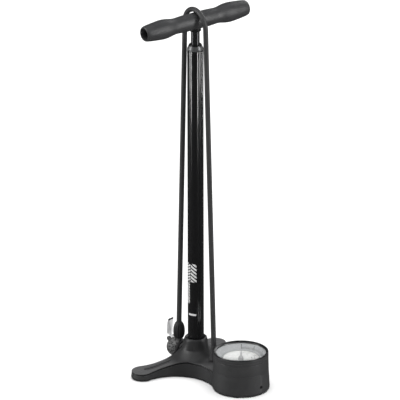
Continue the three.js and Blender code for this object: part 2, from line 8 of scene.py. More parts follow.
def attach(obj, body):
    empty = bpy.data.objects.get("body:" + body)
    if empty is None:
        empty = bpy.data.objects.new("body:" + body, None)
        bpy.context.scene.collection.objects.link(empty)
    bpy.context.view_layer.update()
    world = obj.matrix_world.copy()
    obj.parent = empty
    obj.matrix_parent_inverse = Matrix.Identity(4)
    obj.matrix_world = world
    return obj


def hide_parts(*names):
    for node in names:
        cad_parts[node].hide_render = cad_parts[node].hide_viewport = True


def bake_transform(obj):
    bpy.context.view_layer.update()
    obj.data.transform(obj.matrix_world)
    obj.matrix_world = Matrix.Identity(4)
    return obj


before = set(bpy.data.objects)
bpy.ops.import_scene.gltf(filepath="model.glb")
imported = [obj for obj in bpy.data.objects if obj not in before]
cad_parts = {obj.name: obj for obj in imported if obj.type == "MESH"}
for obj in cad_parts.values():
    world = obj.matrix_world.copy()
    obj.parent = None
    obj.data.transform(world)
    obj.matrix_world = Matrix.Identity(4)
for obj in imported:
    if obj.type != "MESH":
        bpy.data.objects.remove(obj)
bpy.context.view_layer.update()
random.seed(7)

MM = 0.001
AY = 49.5                    # the barrel axis in the row frame, mm

# ------------------------------------------------------------------ camera
AZ, EL = math.radians(-45.37), math.radians(22.09)
FRAME_WIDTH = 0.700          # metres across the 400 pixel frame
u = Vector((math.cos(AZ), math.sin(AZ), 0))
back = Vector((math.sin(AZ) * math.cos(EL), -math.cos(AZ) * math.cos(EL), math.sin(EL)))
up = Vector((-math.sin(AZ) * math.sin(EL), math.cos(AZ) * math.sin(EL), math.cos(EL)))
target = u * 0.0077 + up * 0.299075 + back * 0.12 + Vector((0, AY * MM, 0))
cam_data = bpy.data.cameras.new("camera")
cam_data.lens = 1000
cam_data.sensor_width = 36
cam_data.clip_start = 1.0
cam_data.clip_end = 200
cam = bpy.data.objects.new("camera", cam_data)
bpy.context.scene.collection.objects.link(cam)
cam.location = target + back * (FRAME_WIDTH * cam_data.lens / 36)
cam.rotation_euler = ((target - cam.location).to_track_quat("-Z", "Y") @ Quaternion((0, 0, 1), math.radians(-0.1))).to_euler()
bpy.context.scene.camera = cam


# ------------------------------------------------------------------ materials
def _node(nt, kind, **props):
    n = nt.nodes.new(kind)
    for k, v in props.items():
        setattr(n, k, v)
    return n


def material(name, base, rough, metal=0.0, second=None, tint_scale=35.0, tint=0.5, rough_var=0.06, rough_scale=60.0,
             grain=0.0, grain_scale=2500.0, grain_depth=0.00003, coat=0.0, coat_rough=0.06, spec=0.5, wear=None,
             wear_amount=0.35, stretch=(1, 1, 1), painted_top_light=0.0, ior=1.5, transmission=0.0, extra=None):
    """Principled surface with colour variation, roughness variation, fine relief and worn edges."""
    m = bpy.data.materials.new(name)
    m.use_nodes = True
    nt = m.node_tree
    b = nt.nodes["Principled BSDF"]
    b.inputs["Metallic"].default_value = metal
    b.inputs["Roughness"].default_value = rough
    b.inputs["IOR"].default_value = ior
    b.inputs["Specular IOR Level"].default_value = spec
    b.inputs["Coat Weight"].default_value = coat
    b.inputs["Coat Roughness"].default_value = coat_rough
    b.inputs["Transmission Weight"].default_value = transmission
    tc = _node(nt, "ShaderNodeTexCoord")
    mp = _node(nt, "ShaderNodeMapping")
    mp.inputs["Scale"].default_value = stretch
    nt.links.new(tc.outputs["Object"], mp.inputs["Vector"])

    cloud = _node(nt, "ShaderNodeTexNoise")
    cloud.inputs["Scale"].default_value = tint_scale
    cloud.inputs["Detail"].default_value = 6
    cloud.inputs["Roughness"].default_value = 0.6
    nt.links.new(mp.outputs["Vector"], cloud.inputs["Vector"])
    ramp = _node(nt, "ShaderNodeValToRGB")
    ramp.color_ramp.elements[0].position = 0.5 - 0.5 * tint
    ramp.color_ramp.elements[1].position = 0.5 + 0.5 * tint
    second = second or tuple(c * 1.25 for c in base)
    ramp.color_ramp.elements[0].color = (*base, 1)
    ramp.color_ramp.elements[1].color = (*second, 1)
    nt.links.new(cloud.outputs["Fac"], ramp.inputs["Fac"])
    colour = ramp.outputs["Color"]

    if wear:
        geo = _node(nt, "ShaderNodeNewGeometry")
        edge = _node(nt, "ShaderNodeMapRange")
        edge.inputs["From Min"].default_value = 0.535
        edge.inputs["From Max"].default_value = 0.62
        edge.inputs["To Max"].default_value = wear_amount
        nt.links.new(geo.outputs["Pointiness"], edge.inputs["Value"])
        scuff = _node(nt, "ShaderNodeTexNoise")
        scuff.inputs["Scale"].default_value = 420
        scuff.inputs["Detail"].default_value = 5
        nt.links.new(mp.outputs["Vector"], scuff.inputs["Vector"])
        mul = _node(nt, "ShaderNodeMath", operation="MULTIPLY")
        nt.links.new(edge.outputs["Result"], mul.inputs[0])
        nt.links.new(scuff.outputs["Fac"], mul.inputs[1])
        mix = _node(nt, "ShaderNodeMix", data_type="RGBA")
        mix.inputs[7].default_value = (*wear, 1)
        nt.links.new(mul.outputs[0], mix.inputs[0])
        nt.links.new(colour, mix.inputs[6])
        colour = mix.outputs[2]
    # painted top light: faces that look up are mixed towards a lighter grey, standing in for light from above
    if painted_top_light:
        geo = _node(nt, "ShaderNodeNewGeometry")
        sep = _node(nt, "ShaderNodeSeparateXYZ")
        nt.links.new(geo.outputs["Normal"], sep.inputs[0])
        lying = _node(nt, "ShaderNodeMapRange")
        lying.inputs["From Min"].default_value = 0.72
        lying.inputs["From Max"].default_value = 0.97
        nt.links.new(sep.outputs["Z"], lying.inputs["Value"])
        # no painted top light close to the stem; there the colour is darkened instead, as painted shade
        from_axis = _node(nt, "ShaderNodeVectorMath", operation="SUBTRACT")
        from_axis.inputs[1].default_value = (0, 0.0495, 0)
        nt.links.new(tc.outputs["Object"], from_axis.inputs[0])
        level = _node(nt, "ShaderNodeVectorMath", operation="MULTIPLY")
        level.inputs[1].default_value = (1, 1, 0)
        nt.links.new(from_axis.outputs[0], level.inputs[0])
        reach = _node(nt, "ShaderNodeVectorMath", operation="LENGTH")
        nt.links.new(level.outputs[0], reach.inputs[0])
        clear = _node(nt, "ShaderNodeMapRange")
        clear.inputs["From Min"].default_value = 0.042
        clear.inputs["From Max"].default_value = 0.060
        nt.links.new(reach.outputs["Value"], clear.inputs["Value"])
        top_lit_mask = _node(nt, "ShaderNodeMath", operation="MULTIPLY")
        nt.links.new(lying.outputs["Result"], top_lit_mask.inputs[0])
        nt.links.new(clear.outputs["Result"], top_lit_mask.inputs[1])
        # painted shade: within 42 mm of the barrel axis the colour is multiplied by 0.68, fading out by 60 mm
        near_stem_shade_mask = _node(nt, "ShaderNodeMapRange")
        near_stem_shade_mask.inputs["From Min"].default_value = 0.042
        near_stem_shade_mask.inputs["From Max"].default_value = 0.060
        near_stem_shade_mask.inputs["To Min"].default_value = 1.0
        near_stem_shade_mask.inputs["To Max"].default_value = 0.0
        nt.links.new(reach.outputs["Value"], near_stem_shade_mask.inputs["Value"])
        painted_stem_shade = _node(nt, "ShaderNodeMix", data_type="RGBA", blend_type="MULTIPLY")
        painted_stem_shade.inputs[7].default_value = (0.68, 0.68, 0.68, 1)
        nt.links.new(near_stem_shade_mask.outputs["Result"], painted_stem_shade.inputs[0])
        nt.links.new(colour, painted_stem_shade.inputs[6])
        colour = painted_stem_shade.outputs[2]
        # mix the painted top light into upward faces away from the stem
        painted_top_light_mix = _node(nt, "ShaderNodeMix", data_type="RGBA")
        painted_top_light_mix.inputs[7].default_value = (painted_top_light, painted_top_light, painted_top_light * 1.02, 1)
        nt.links.new(top_lit_mask.outputs[0], painted_top_light_mix.inputs[0])
        nt.links.new(colour, painted_top_light_mix.inputs[6])
        colour = painted_top_light_mix.outputs[2]
    if extra:
        colour = extra(nt, tc, colour)
    nt.links.new(colour, b.inputs["Base Color"])

    rn = _node(nt, "ShaderNodeTexNoise")
    rn.inputs["Scale"].default_value = rough_scale
    rn.inputs["Detail"].default_value = 8
    nt.links.new(mp.outputs["Vector"], rn.inputs["Vector"])
    rr = _node(nt, "ShaderNodeMapRange")
    rr.inputs["From Min"].default_value = 0.3
    rr.inputs["From Max"].default_value = 0.7
    rr.inputs["To Min"].default_value = max(0.02, rough - rough_var)
    rr.inputs["To Max"].default_value = min(1.0, rough + rough_var)
    nt.links.new(rn.outputs["Fac"], rr.inputs["Value"])
    nt.links.new(rr.outputs["Result"], b.inputs["Roughness"])

    if grain > 0:
        gn = _node(nt, "ShaderNodeTexNoise")
        gn.inputs["Scale"].default_value = grain_scale
        gn.inputs["Detail"].default_value = 3
        nt.links.new(mp.outputs["Vector"], gn.inputs["Vector"])
        bump = _node(nt, "ShaderNodeBump")
        bump.inputs["Strength"].default_value = grain
        bump.inputs["Distance"].default_value = grain_depth
        nt.links.new(gn.outputs["Fac"], bump.inputs["Height"])
        nt.links.new(bump.outputs["Normal"], b.inputs["Normal"])
    return m


def barrel_marks(nt, tc, colour):
    """White slanted bars down one side of the barrel, and one short dash under them."""
    def math_node(op, a, b_=None, c=None):
        n = _node(nt, "ShaderNodeMath", operation=op)
        for i, v in enumerate((a, b_, c)):
            if v is None:
                continue
            if isinstance(v, (int, float)):
                n.inputs[i].default_value = v
            else:
                nt.links.new(v, n.inputs[i])
        return n.outputs[0]
    sep = _node(nt, "ShaderNodeSeparateXYZ")
    nt.links.new(tc.outputs["Object"], sep.inputs[0])
    x, y, z = sep.outputs
    yy = math_node("SUBTRACT", y, AY * MM)
    # arc length around the barrel, from the direction that faces the marks
    d = math.radians(MARK_AZ)
    fwd = math_node("ADD", math_node("MULTIPLY", x, math.cos(d)), math_node("MULTIPLY", yy, math.sin(d)))
    side = math_node("ADD", math_node("MULTIPLY", x, -math.sin(d)), math_node("MULTIPLY", yy, math.cos(d)))
    ang = math_node("ARCTAN2", side, fwd)
    s = math_node("MULTIPLY", ang, 14.25)              # mm around
    zm = math_node("MULTIPLY", z, 1000.0)              # mm up

    def band(value, lo, hi):
        return math_node("MULTIPLY", math_node("GREATER_THAN", value, lo), math_node("LESS_THAN", value, hi))

    def bars(z0, z1, s0, s1, pitch, duty, slant):
        phase = math_node("FRACT", math_node("DIVIDE", math_node("ADD", math_node("SUBTRACT", zm, z0), math_node("MULTIPLY", s, slant)), pitch))
        on = math_node("LESS_THAN", phase, duty)
        return math_node("MULTIPLY", math_node("MULTIPLY", band(zm, z0, z1), band(s, s0, s1)), on)
    parts = [
        bars(172.0, 206.5, -1.4, 8.8, 6.9, 0.58, 0.75),
        bars(172.0, 206.5, -13.0, -2.6, 5.3, 0.58, -0.5),
        bars(131.0, 170.5, -13.0, -4.4, 5.1, 0.62, 0.55),
        bars(108.6, 112.2, -6.8, 8.2, 60.0, 1.1, 0.0),
    ]
    total = parts[0]
    for p in parts[1:]:
        total = math_node("MAXIMUM", total, p)
    mix = _node(nt, "ShaderNodeMix", data_type="RGBA")
    mix.inputs[7].default_value = (0.62, 0.62, 0.62, 1)
    nt.links.new(total, mix.inputs[0])
    nt.links.new(colour, mix.inputs[6])
    return mix.outputs[2]


MARK_AZ = 194.6
# the casting's upward faces are painted lighter (painted top light), and its colour near the stem is painted darker
# (painted shade)
casting_m = material("casting", (0.027, 0.0273, 0.0282), 0.46, second=(0.036, 0.0363, 0.0372), painted_top_light=0.064, grain=0.55, grain_scale=1900,
                     grain_depth=0.00006, wear=(0.16, 0.16, 0.165), rough_var=0.05, spec=0.5)
barrel_m = material("barrel_paint", (0.0035, 0.0035, 0.004), 0.20, second=(0.005, 0.005, 0.0055), rough_var=0.05, rough_scale=30,
                    coat=0.6, coat_rough=0.05, grain=0.12, grain_scale=420, grain_depth=0.00002, stretch=(1, 1, 0.25), extra=barrel_marks)
cap_m = material("cap_paint", (0.12, 0.122, 0.125), 0.36, metal=0.6, second=(0.16, 0.162, 0.165), stretch=(1, 1, 18), tint_scale=90,
                 grain=0.3, grain_scale=900, grain_depth=0.00003)
rod_m = material("rod_steel", (0.055, 0.055, 0.058), 0.27, metal=0.9, second=(0.085, 0.085, 0.088), stretch=(14, 14, 1), tint_scale=60,
                 grain=0.25, grain_scale=500, grain_depth=0.00002, rough_scale=90)
grip_m = material("grip", (0.026, 0.0263, 0.0275), 0.42, second=(0.036, 0.0363, 0.0375), grain=0.8, grain_scale=1500,
                  grain_depth=0.00009, wear=(0.06, 0.06, 0.062), rough_var=0.07)
rubber_m = material("rubber", (0.008, 0.008, 0.008), 0.72, second=(0.014, 0.014, 0.014), grain=0.7, grain_scale=1700, grain_depth=0.0001)
hose_m = material("hose_rubber", (0.027, 0.0273, 0.028), 0.46, second=(0.037, 0.0373, 0.038), grain=0.5, grain_scale=2600,
                  grain_depth=0.00005, stretch=(1, 1, 0.4), rough_var=0.08)
brass_m = material("brass", (0.42, 0.29, 0.10), 0.33, metal=1.0, second=(0.50, 0.36, 0.14), grain=0.2, grain_scale=800)
alloy_m = material("alloy", (0.88, 0.882, 0.885), 0.34, metal=0.0, second=(0.93, 0.932, 0.935), stretch=(1, 1, 12), tint_scale=120,
                   grain=0.15, grain_scale=700, grain_depth=0.00001)
plated_m = material("plated", (0.36, 0.36, 0.37), 0.32, metal=1.0, second=(0.46, 0.46, 0.47), grain=0.2, grain_scale=900)
dial_m = material("dial_white", (0.62, 0.62, 0.61), 0.55, second=(0.67, 0.67, 0.66), grain=0.1, grain_scale=900, rough_var=0.03)
chapter_m = material("chapter_grey", (0.33, 0.335, 0.34), 0.45, second=(0.37, 0.375, 0.38), grain=0.15, grain_scale=1200, rough_var=0.04)
ink_m = material("ink", (0.012, 0.012, 0.013), 0.6, second=(0.02, 0.02, 0.021), grain=0.1, grain_scale=1500)
ink_red_m = material("ink_red", (0.36, 0.018, 0.014), 0.6, second=(0.42, 0.025, 0.02), grain=0.1, grain_scale=1500)
needle_m = material("needle_paint", (0.30, 0.30, 0.302), 0.4, second=(0.34, 0.34, 0.342), grain=0.1, grain_scale=1500)
bezel_m = material("bezel", (0.006, 0.006, 0.0065), 0.30, second=(0.010, 0.010, 0.0105), grain=0.25, grain_scale=1400,
                   grain_depth=0.00003, wear=(0.07, 0.07, 0.072))
head_m = material("head_plastic", (0.0095, 0.0095, 0.010), 0.50, second=(0.017, 0.017, 0.018), grain=1.0, grain_scale=1100,
                  grain_depth=0.00022, wear=(0.07, 0.07, 0.072), rough_var=0.1)
def pitted(nt, tc, colour):
    """Pits, about 3.5 mm apart, over the head's grip face: dented by a bump, with painted shade darkening them."""
    cells = _node(nt, "ShaderNodeTexVoronoi")
    cells.inputs["Scale"].default_value = 285
    cells.inputs["Randomness"].default_value = 0.75
    nt.links.new(tc.outputs["Object"], cells.inputs["Vector"])
    pit = _node(nt, "ShaderNodeMapRange")
    pit.inputs["From Min"].default_value = 0.34
    pit.inputs["From Max"].default_value = 0.50
    pit.inputs["To Min"].default_value = 1.0
    pit.inputs["To Max"].default_value = 0.0
    nt.links.new(cells.outputs["Distance"], pit.inputs["Value"])
    # painted shade inside the pits: the colour goes to near black where the pit mask is high
    mix = _node(nt, "ShaderNodeMix", data_type="RGBA")
    mix.inputs[7].default_value = (0.0035, 0.0035, 0.0036, 1)
    nt.links.new(pit.outputs["Result"], mix.inputs[0])
    nt.links.new(colour, mix.inputs[6])
    b = nt.nodes["Principled BSDF"]
    low = _node(nt, "ShaderNodeBump")
    low.invert = True
    low.inputs["Strength"].default_value = 1.0
    low.inputs["Distance"].default_value = 0.0007
    nt.links.new(pit.outputs["Result"], low.inputs["Height"])
    nt.links.new(low.outputs["Normal"], b.inputs["Normal"])
    return mix.outputs[2]


shell_m = material("head_shell_plastic", (0.085, 0.0852, 0.0855), 0.48, second=(0.120, 0.1202, 0.1205), tint_scale=160, wear=(0.07, 0.07, 0.072),
                   rough_var=0.1, extra=pitted)
sleeve_m = material("sleeve_rubber", (0.026, 0.0262, 0.027), 0.55, second=(0.034, 0.0342, 0.035), grain=0.6, grain_scale=2300, grain_depth=0.00006)
acetal_m = material("acetal", (0.70, 0.69, 0.65), 0.45, second=(0.74, 0.73, 0.69), grain=0.1, grain_scale=900)
socket_m = material("socket_black", (0.005, 0.005, 0.005), 0.6, second=(0.008, 0.008, 0.008), grain=0.3, grain_scale=1200)
lens_m = material("lens", (0.93, 0.945, 0.95), 0.03, second=(0.95, 0.96, 0.965), transmission=1.0, ior=1.46, rough_var=0.012,
                  rough_scale=25, grain=0.05, grain_scale=60, grain_depth=0.00002)


# ------------------------------------------------------------------ mesh helpers
def finish_mesh(name, verts, faces, mat, body, replaces=(), slot=None, angle=32, weld=True, keep_open=False):
    """verts are in mm about the barrel axis; the piece is put in the row frame in metres."""
    me = bpy.data.meshes.new(name)
    me.from_pydata([(x * MM, (y + AY) * MM, z * MM) for x, y, z in verts], [], faces)
    bm = bmesh.new()
    bm.from_mesh(me)
    if weld:
        bmesh.ops.remove_doubles(bm, verts=bm.verts, dist=2e-6)
        bmesh.ops.dissolve_degenerate(bm, edges=bm.edges, dist=1e-7)
    bmesh.ops.recalc_face_normals(bm, faces=bm.faces)
    if not keep_open and bm.calc_volume(signed=True) < 0:
        bmesh.ops.reverse_faces(bm, faces=bm.faces)
    bm.to_mesh(me)
    bm.free()
    return finish_object(name, me, mat, body, replaces, angle)


def finish_object(name, me, mat, body, replaces=(), angle=32):
    me.polygons.foreach_set("use_smooth", [True] * len(me.polygons))
    me.set_sharp_from_angle(angle=math.radians(angle))
    me.update()
    o = bpy.data.objects.new(name, me)
    bpy.context.scene.collection.objects.link(o)
    if mat is not None:
        me.materials.clear()
        me.materials.append(mat)
    if body:
        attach(o, body)
    if replaces:
        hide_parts(*replaces)
    return o


def fillet(points, default=0.4, steps=4, closed=False):
    """Rounds the corners of a profile. A point may carry its own radius as a third number."""
    n = len(points)
    out = []
    for i, p in enumerate(points):
        r = p[2] if len(p) > 2 else default
        if (not closed and i in (0, n - 1)) or r <= 0:
            out.append((p[0], p[1]))
            continue
        a, b = points[(i - 1) % n], points[(i + 1) % n]
        va, vb = (a[0] - p[0], a[1] - p[1]), (b[0] - p[0], b[1] - p[1])
        la, lb = math.hypot(*va), math.hypot(*vb)
        if la < 1e-6 or lb < 1e-6:
            out.append((p[0], p[1]))
            continue
        cosang = max(-1, min(1, (va[0] * vb[0] + va[1] * vb[1]) / la / lb))
        half = math.acos(cosang) / 2
        if half > math.radians(88):
            out.append((p[0], p[1]))
            continue
        d = min(r / max(math.tan(half), 1e-3), 0.45 * la, 0.45 * lb)
        p0 = (p[0] + va[0] / la * d, p[1] + va[1] / la * d)
        p1 = (p[0] + vb[0] / lb * d, p[1] + vb[1] / lb * d)
        for k in range(steps + 1):
            t = k / steps
            out.append(((1 - t) ** 2 * p0[0] + 2 * t * (1 - t) * p[0] + t * t * p1[0],
                        (1 - t) ** 2 * p0[1] + 2 * t * (1 - t) * p[1] + t * t * p1[1]))
    return out


def turn_points(profile, seg, closed, ripple=None):
    """Vertices and faces of a turned shape about local +Z."""
    verts, rows = [], []
    for r, z in profile:
        if r < 1e-6:
            rows.append([len(verts)])
            verts.append((0.0, 0.0, z))
        else:
            row = []
            for i in range(seg):
                a = 2 * math.pi * i / seg
                rr = r if ripple is None else ripple(r, z, a)
                row.append(len(verts))
                verts.append((rr * math.cos(a), rr * math.sin(a), z))
            rows.append(row)
    faces = []
    pairs = list(zip(rows, rows[1:])) + ([(rows[-1], rows[0])] if closed else [])
    for a, b in pairs:
        for i in range(seg):
            j = (i + 1) % seg
            if len(a) == 1 and len(b) == 1:
                continue
            if len(a) == 1:
                faces.append((a[0], b[i], b[j]))
            elif len(b) == 1:
                faces.append((a[i], b[0], a[j]))
            else:
                faces.append((a[i], b[i], b[j], a[j]))
    return verts, faces


def place(verts, axis="Z", at=(0, 0, 0), yaw=0.0):
    out = []
    c, s = math.cos(yaw), math.sin(yaw)
    for x, y, z in verts:
        if axis == "Y":
            x, y, z = x, z, -y
        elif axis == "X":
            x, y, z = z, y, -x
        x, y = x * c - y * s, x * s + y * c
        out.append((x + at[0], y + at[1], z + at[2]))
    return out


def lathe(name, profile, mat, body, replaces=(), slot=None, seg=96, at=(0, 0, 0), axis="Z", r=0.35, closed=None, yaw=0.0,
          ripple=None, steps=4, angle=32, phase=0.0):
    closed = not (profile[0][0] < 1e-6 and profile[-1][0] < 1e-6) if closed is None else closed
    pts = fillet(profile, r, steps, closed)
    verts, faces = turn_points(pts, seg, closed, ripple)
    if phase:
        c, s = math.cos(phase), math.sin(phase)
        verts = [(x * c - y * s, x * s + y * c, z) for x, y, z in verts]
    return finish_mesh(name, place(verts, axis, at, yaw), faces, mat, body, replaces, slot, angle)


def tube(path, radius, sides=20, caps=True, squash_end=0.0):
    """Tube along points in mm with a parallel-carried section; returns vertices and faces."""
    pts = [Vector(p) for p in path]
    verts, faces, normal = [], [], None
    for i, p in enumerate(pts):
        a, b = pts[max(i - 1, 0)], pts[min(i + 1, len(pts) - 1)]
        t = (b - a).normalized()
        if normal is None:
            ref = Vector((1, 0, 0)) if abs(t.x) < 0.9 else Vector((0, 1, 0))
            normal = (ref - t * ref.dot(t)).normalized()
        else:
            normal = (normal - t * normal.dot(t)).normalized()
        bi = t.cross(normal)
        rr = radius(i) if callable(radius) else radius
        for k in range(sides):
            an = 2 * math.pi * k / sides
            verts.append(tuple(p + (normal * math.cos(an) + bi * math.sin(an)) * rr))
    for i in range(len(pts) - 1):
        for k in range(sides):
            j = (k + 1) % sides
            faces.append((i * sides + k, i * sides + j, (i + 1) * sides + j, (i + 1) * sides + k))
    if caps:
        faces.append(tuple(reversed(range(sides))))
        faces.append(tuple((len(pts) - 1) * sides + k for k in range(sides)))
    return verts, faces


def merged(parts):
    verts, faces = [], []
    for v, f in parts:
        n = len(verts)
        verts += v
        faces += [tuple(i + n for i in face) for face in f]
    return verts, faces


def box_points(x0, x1, y0, y1, z0, z1):
    v = [(x, y, z) for x in (x0, x1) for y in (y0, y1) for z in (z0, z1)]
    f = [(0, 1, 3, 2), (4, 6, 7, 5), (0, 4, 5, 1), (2, 3, 7, 6), (0, 2, 6, 4), (1, 5, 7, 3)]
    return v, f


def raw_object(name, verts, faces):
    me = bpy.data.meshes.new(name)
    me.from_pydata([(x * MM, (y + AY) * MM, z * MM) for x, y, z in verts], [], faces)
    bm = bmesh.new()
    bm.from_mesh(me)
    bmesh.ops.remove_doubles(bm, verts=bm.verts, dist=2e-6)
    bmesh.ops.recalc_face_normals(bm, faces=bm.faces)
    if bm.calc_volume(signed=True) < 0:
        bmesh.ops.reverse_faces(bm, faces=bm.faces)
    bm.to_mesh(me)
    bm.free()
    o = bpy.data.objects.new(name, me)
    bpy.context.scene.collection.objects.link(o)
    return o


def cut(o, tools, operation="DIFFERENCE"):
    """Applies boolean cutters or joins to o and removes them; returns the new mesh's object."""
    for t in tools:
        m = o.modifiers.new("b", "BOOLEAN")
        m.operation = operation
        m.solver = "EXACT"
        m.object = t
    deps = bpy.context.evaluated_depsgraph_get()
    me = bpy.data.meshes.new_from_object(o.evaluated_get(deps))
    old = o.data
    o.modifiers.clear()
    o.data = me
    bpy.data.meshes.remove(old)
    for t in tools:
        d = t.data
        bpy.data.objects.remove(t)
        bpy.data.meshes.remove(d)
    return o


def bevelled(o, width, segments=3, angle=35):
    """Rounds the sharp edges of a piece in place."""
    m = o.modifiers.new("v", "BEVEL")
    m.width = width * MM
    m.segments = segments
    m.limit_method = "ANGLE"
    m.angle_limit = math.radians(angle)
    m.harden_normals = False
    m.use_clamp_overlap = True
    deps = bpy.context.evaluated_depsgraph_get()
    me = bpy.data.meshes.new_from_object(o.evaluated_get(deps))
    old = o.data
    o.modifiers.clear()
    o.data = me
    bpy.data.meshes.remove(old)
    return o


def adopt(o, name, mat, body, replaces=(), angle=32):
    me = o.data
    me.name = name
    bpy.data.objects.remove(o)
    return finish_object(name, me, mat, body, replaces, angle)


# ------------------------------------------------------------------ hose, the free cord
ARCH_R, ARCH_TOP, YAW = 30.6, 679.3, math.radians(-9.3)
GLAND_Y, GLAND_TOP, GAP = -44.0, 60.0, 0.3
HEAD_Y, HEAD_Z, COLLAR_TOP, SPLIT_Z = 41.5, 31.0, 80.0, 300.0
ARCH_Z = ARCH_TOP - ARCH_R
front_top = (ARCH_R * math.sin(YAW), -ARCH_R * math.cos(YAW), ARCH_Z)
rear_top = (-front_top[0], -front_top[1], ARCH_Z)
front_foot, rear_foot = (0.0, GLAND_Y, GLAND_TOP - 0.5), (0.0, HEAD_Y, COLLAR_TOP - 0.5)


def lerp(a, b, t):
    return tuple(p + (q - p) * t for p, q in zip(a, b))


upper = [lerp(front_foot, front_top, i / 60) for i in range(60)]
upper += [(front_top[0] * math.cos(math.pi * i / 36), front_top[1] * math.cos(math.pi * i / 36), ARCH_Z + ARCH_R * math.sin(math.pi * i / 36)) for i in range(37)]
t_split = (SPLIT_Z - ARCH_Z) / (rear_foot[2] - ARCH_Z)
upper += [lerp(rear_top, rear_foot, t_split * i / 34) for i in range(1, 35)]
lower = [lerp(rear_top, rear_foot, t_split + (1 - t_split) * i / 22) for i in range(23)]


hose_upper = finish_mesh("hose_upper_run", *tube(upper, 4.5, 24), hose_m, None, (), "hose_rubber", angle=60)
hose_lower = finish_mesh("hose_lower_run", *tube(lower, 4.5, 24), hose_m, None, (), "hose_rubber", angle=60)
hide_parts("hose_upper")
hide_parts("hose_lower")

# ------------------------------------------------------------------ tripod casting
LEG_TIP_R, DRUM_Y, DRUM_R, CUP_Z, SKIRT = 20.0, -110.8, 50.5, 38.0, 2.1
TIP_RIGHT = (100 * math.cos(math.radians(25)), 100 * math.sin(math.radians(25)))
TIP_LEFT = (-TIP_RIGHT[0], TIP_RIGHT[1])
DRUM = (0.0, DRUM_Y)


def bay(a, p, rp, q, rq):
    """Circle that touches the circle of radius a about the axis and the two lobes, from outside."""
    def row(c, r):
        return 2 * c[0], 2 * c[1], 2 * (r - a), c[0] ** 2 + c[1] ** 2 + a * a - r * r
    a1, b1, c1, d1 = row(p, rp)
    a2, b2, c2, d2 = row(q, rq)
    det = a1 * b2 - a2 * b1

    def at(rho):
        return ((d1 - c1 * rho) * b2 - (d2 - c2 * rho) * b1) / det, (a1 * (d2 - c2 * rho) - a2 * (d1 - c1 * rho)) / det

    def off(rho):
        x, y = at(rho)
        return math.hypot(x, y) - rho - a
    lo = 5.0
    for k in range(6, 1500):
        if off(lo) * off(float(k)) < 0:
            hi = float(k)
            for _ in range(60):
                mid = (lo + hi) / 2
                if off(lo) * off(mid) > 0:
                    lo = mid
                else:
                    hi = mid
            return at(lo), lo
        lo = float(k)


rear_d = (TIP_RIGHT[0] ** 2 + TIP_RIGHT[1] ** 2 - (LEG_TIP_R - 28.5) ** 2) / (2 * TIP_RIGHT[1] + 2 * (LEG_TIP_R - 28.5))
LOBE_R = DRUM_R - 1.3
bay_left = bay(39.0, TIP_LEFT, LEG_TIP_R, DRUM, LOBE_R)
bay_right = bay(39.0, TIP_RIGHT, LEG_TIP_R, DRUM, LOBE_R)
AROUND = [(DRUM, LOBE_R, 48), (*bay_right, 90), (TIP_RIGHT, LEG_TIP_R, 44), ((0.0, rear_d), rear_d - 28.5, 90),
          (TIP_LEFT, LEG_TIP_R, 44), (*bay_left, 90)]


def plan_outline():
    pts = []
    for k, (c, r, steps) in enumerate(AROUND):
        before, after = AROUND[(k + 5) % 6], AROUND[(k + 1) % 6]
        start = math.atan2(before[0][1] - c[1], before[0][0] - c[0])
        end = math.atan2(after[0][1] - c[1], after[0][0] - c[0])
        if k % 2 == 0:
            while end < start:
                end += 2 * math.pi
        else:
            while end > start:
                end -= 2 * math.pi
        for i in range(steps):
            a = start + (end - start) * i / steps
            pts.append((c[0] + r * math.cos(a), c[1] + r * math.sin(a)))
    return pts


def ease(t):
    t = min(1.0, max(0.0, t))
    return t * t * (3 - 2 * t)


def smooth_table(table, x):
    """Catmull-Rom through the table."""
    if x <= table[0][0]:
        return table[0][1]
    if x >= table[-1][0]:
        return table[-1][1]
    for i in range(1, len(table)):
        if x <= table[i][0]:
            p0, p1, p2, p3 = table[max(i - 2, 0)], table[i - 1], table[i], table[min(i + 1, len(table) - 1)]
            h = p2[0] - p1[0]
            t = (x - p1[0]) / h
            m1 = (p2[1] - p0[1]) / max(p2[0] - p0[0], 1e-6) * h
            m2 = (p3[1] - p1[1]) / max(p3[0] - p1[0], 1e-6) * h
            return ((2 * t ** 3 - 3 * t ** 2 + 1) * p1[1] + (t ** 3 - 2 * t ** 2 + t) * m1
                    + (-2 * t ** 3 + 3 * t ** 2) * p2[1] + (t ** 3 - t ** 2) * m2)


LEG_TOP = [(23, 44), (27, 39.6), (31, 35.6), (35, 32), (39, 29.4), (46, 26.6), (52, 24.2), (66, 20.4), (82, 16.9), (98, 14.8), (112, 14.1), (125, 14)]
NECK_TOP = [(23, 44), (27, 39.8), (31, 36.2), (35, 33.2), (39, 31.2), (50, 30), (62, 29.5), (200, 29.5)]
STEM_TOP = 64.6
BELL = [(17.8, 64.55), (19.1, 63.9), (20.0, 62.4), (20.7, 60), (21.3, 55), (22.2, 49), (23.5, 44)]


def frontness(theta):
    off = abs(math.atan2(math.sin(theta + math.pi / 2), math.cos(theta + math.pi / 2)))
    return 1 - ease((off - math.radians(38)) / math.radians(20))


def top_height(r, theta):
    f = frontness(theta)
    return f * smooth_table(NECK_TOP, r) + (1 - f) * smooth_table(LEG_TOP, r)


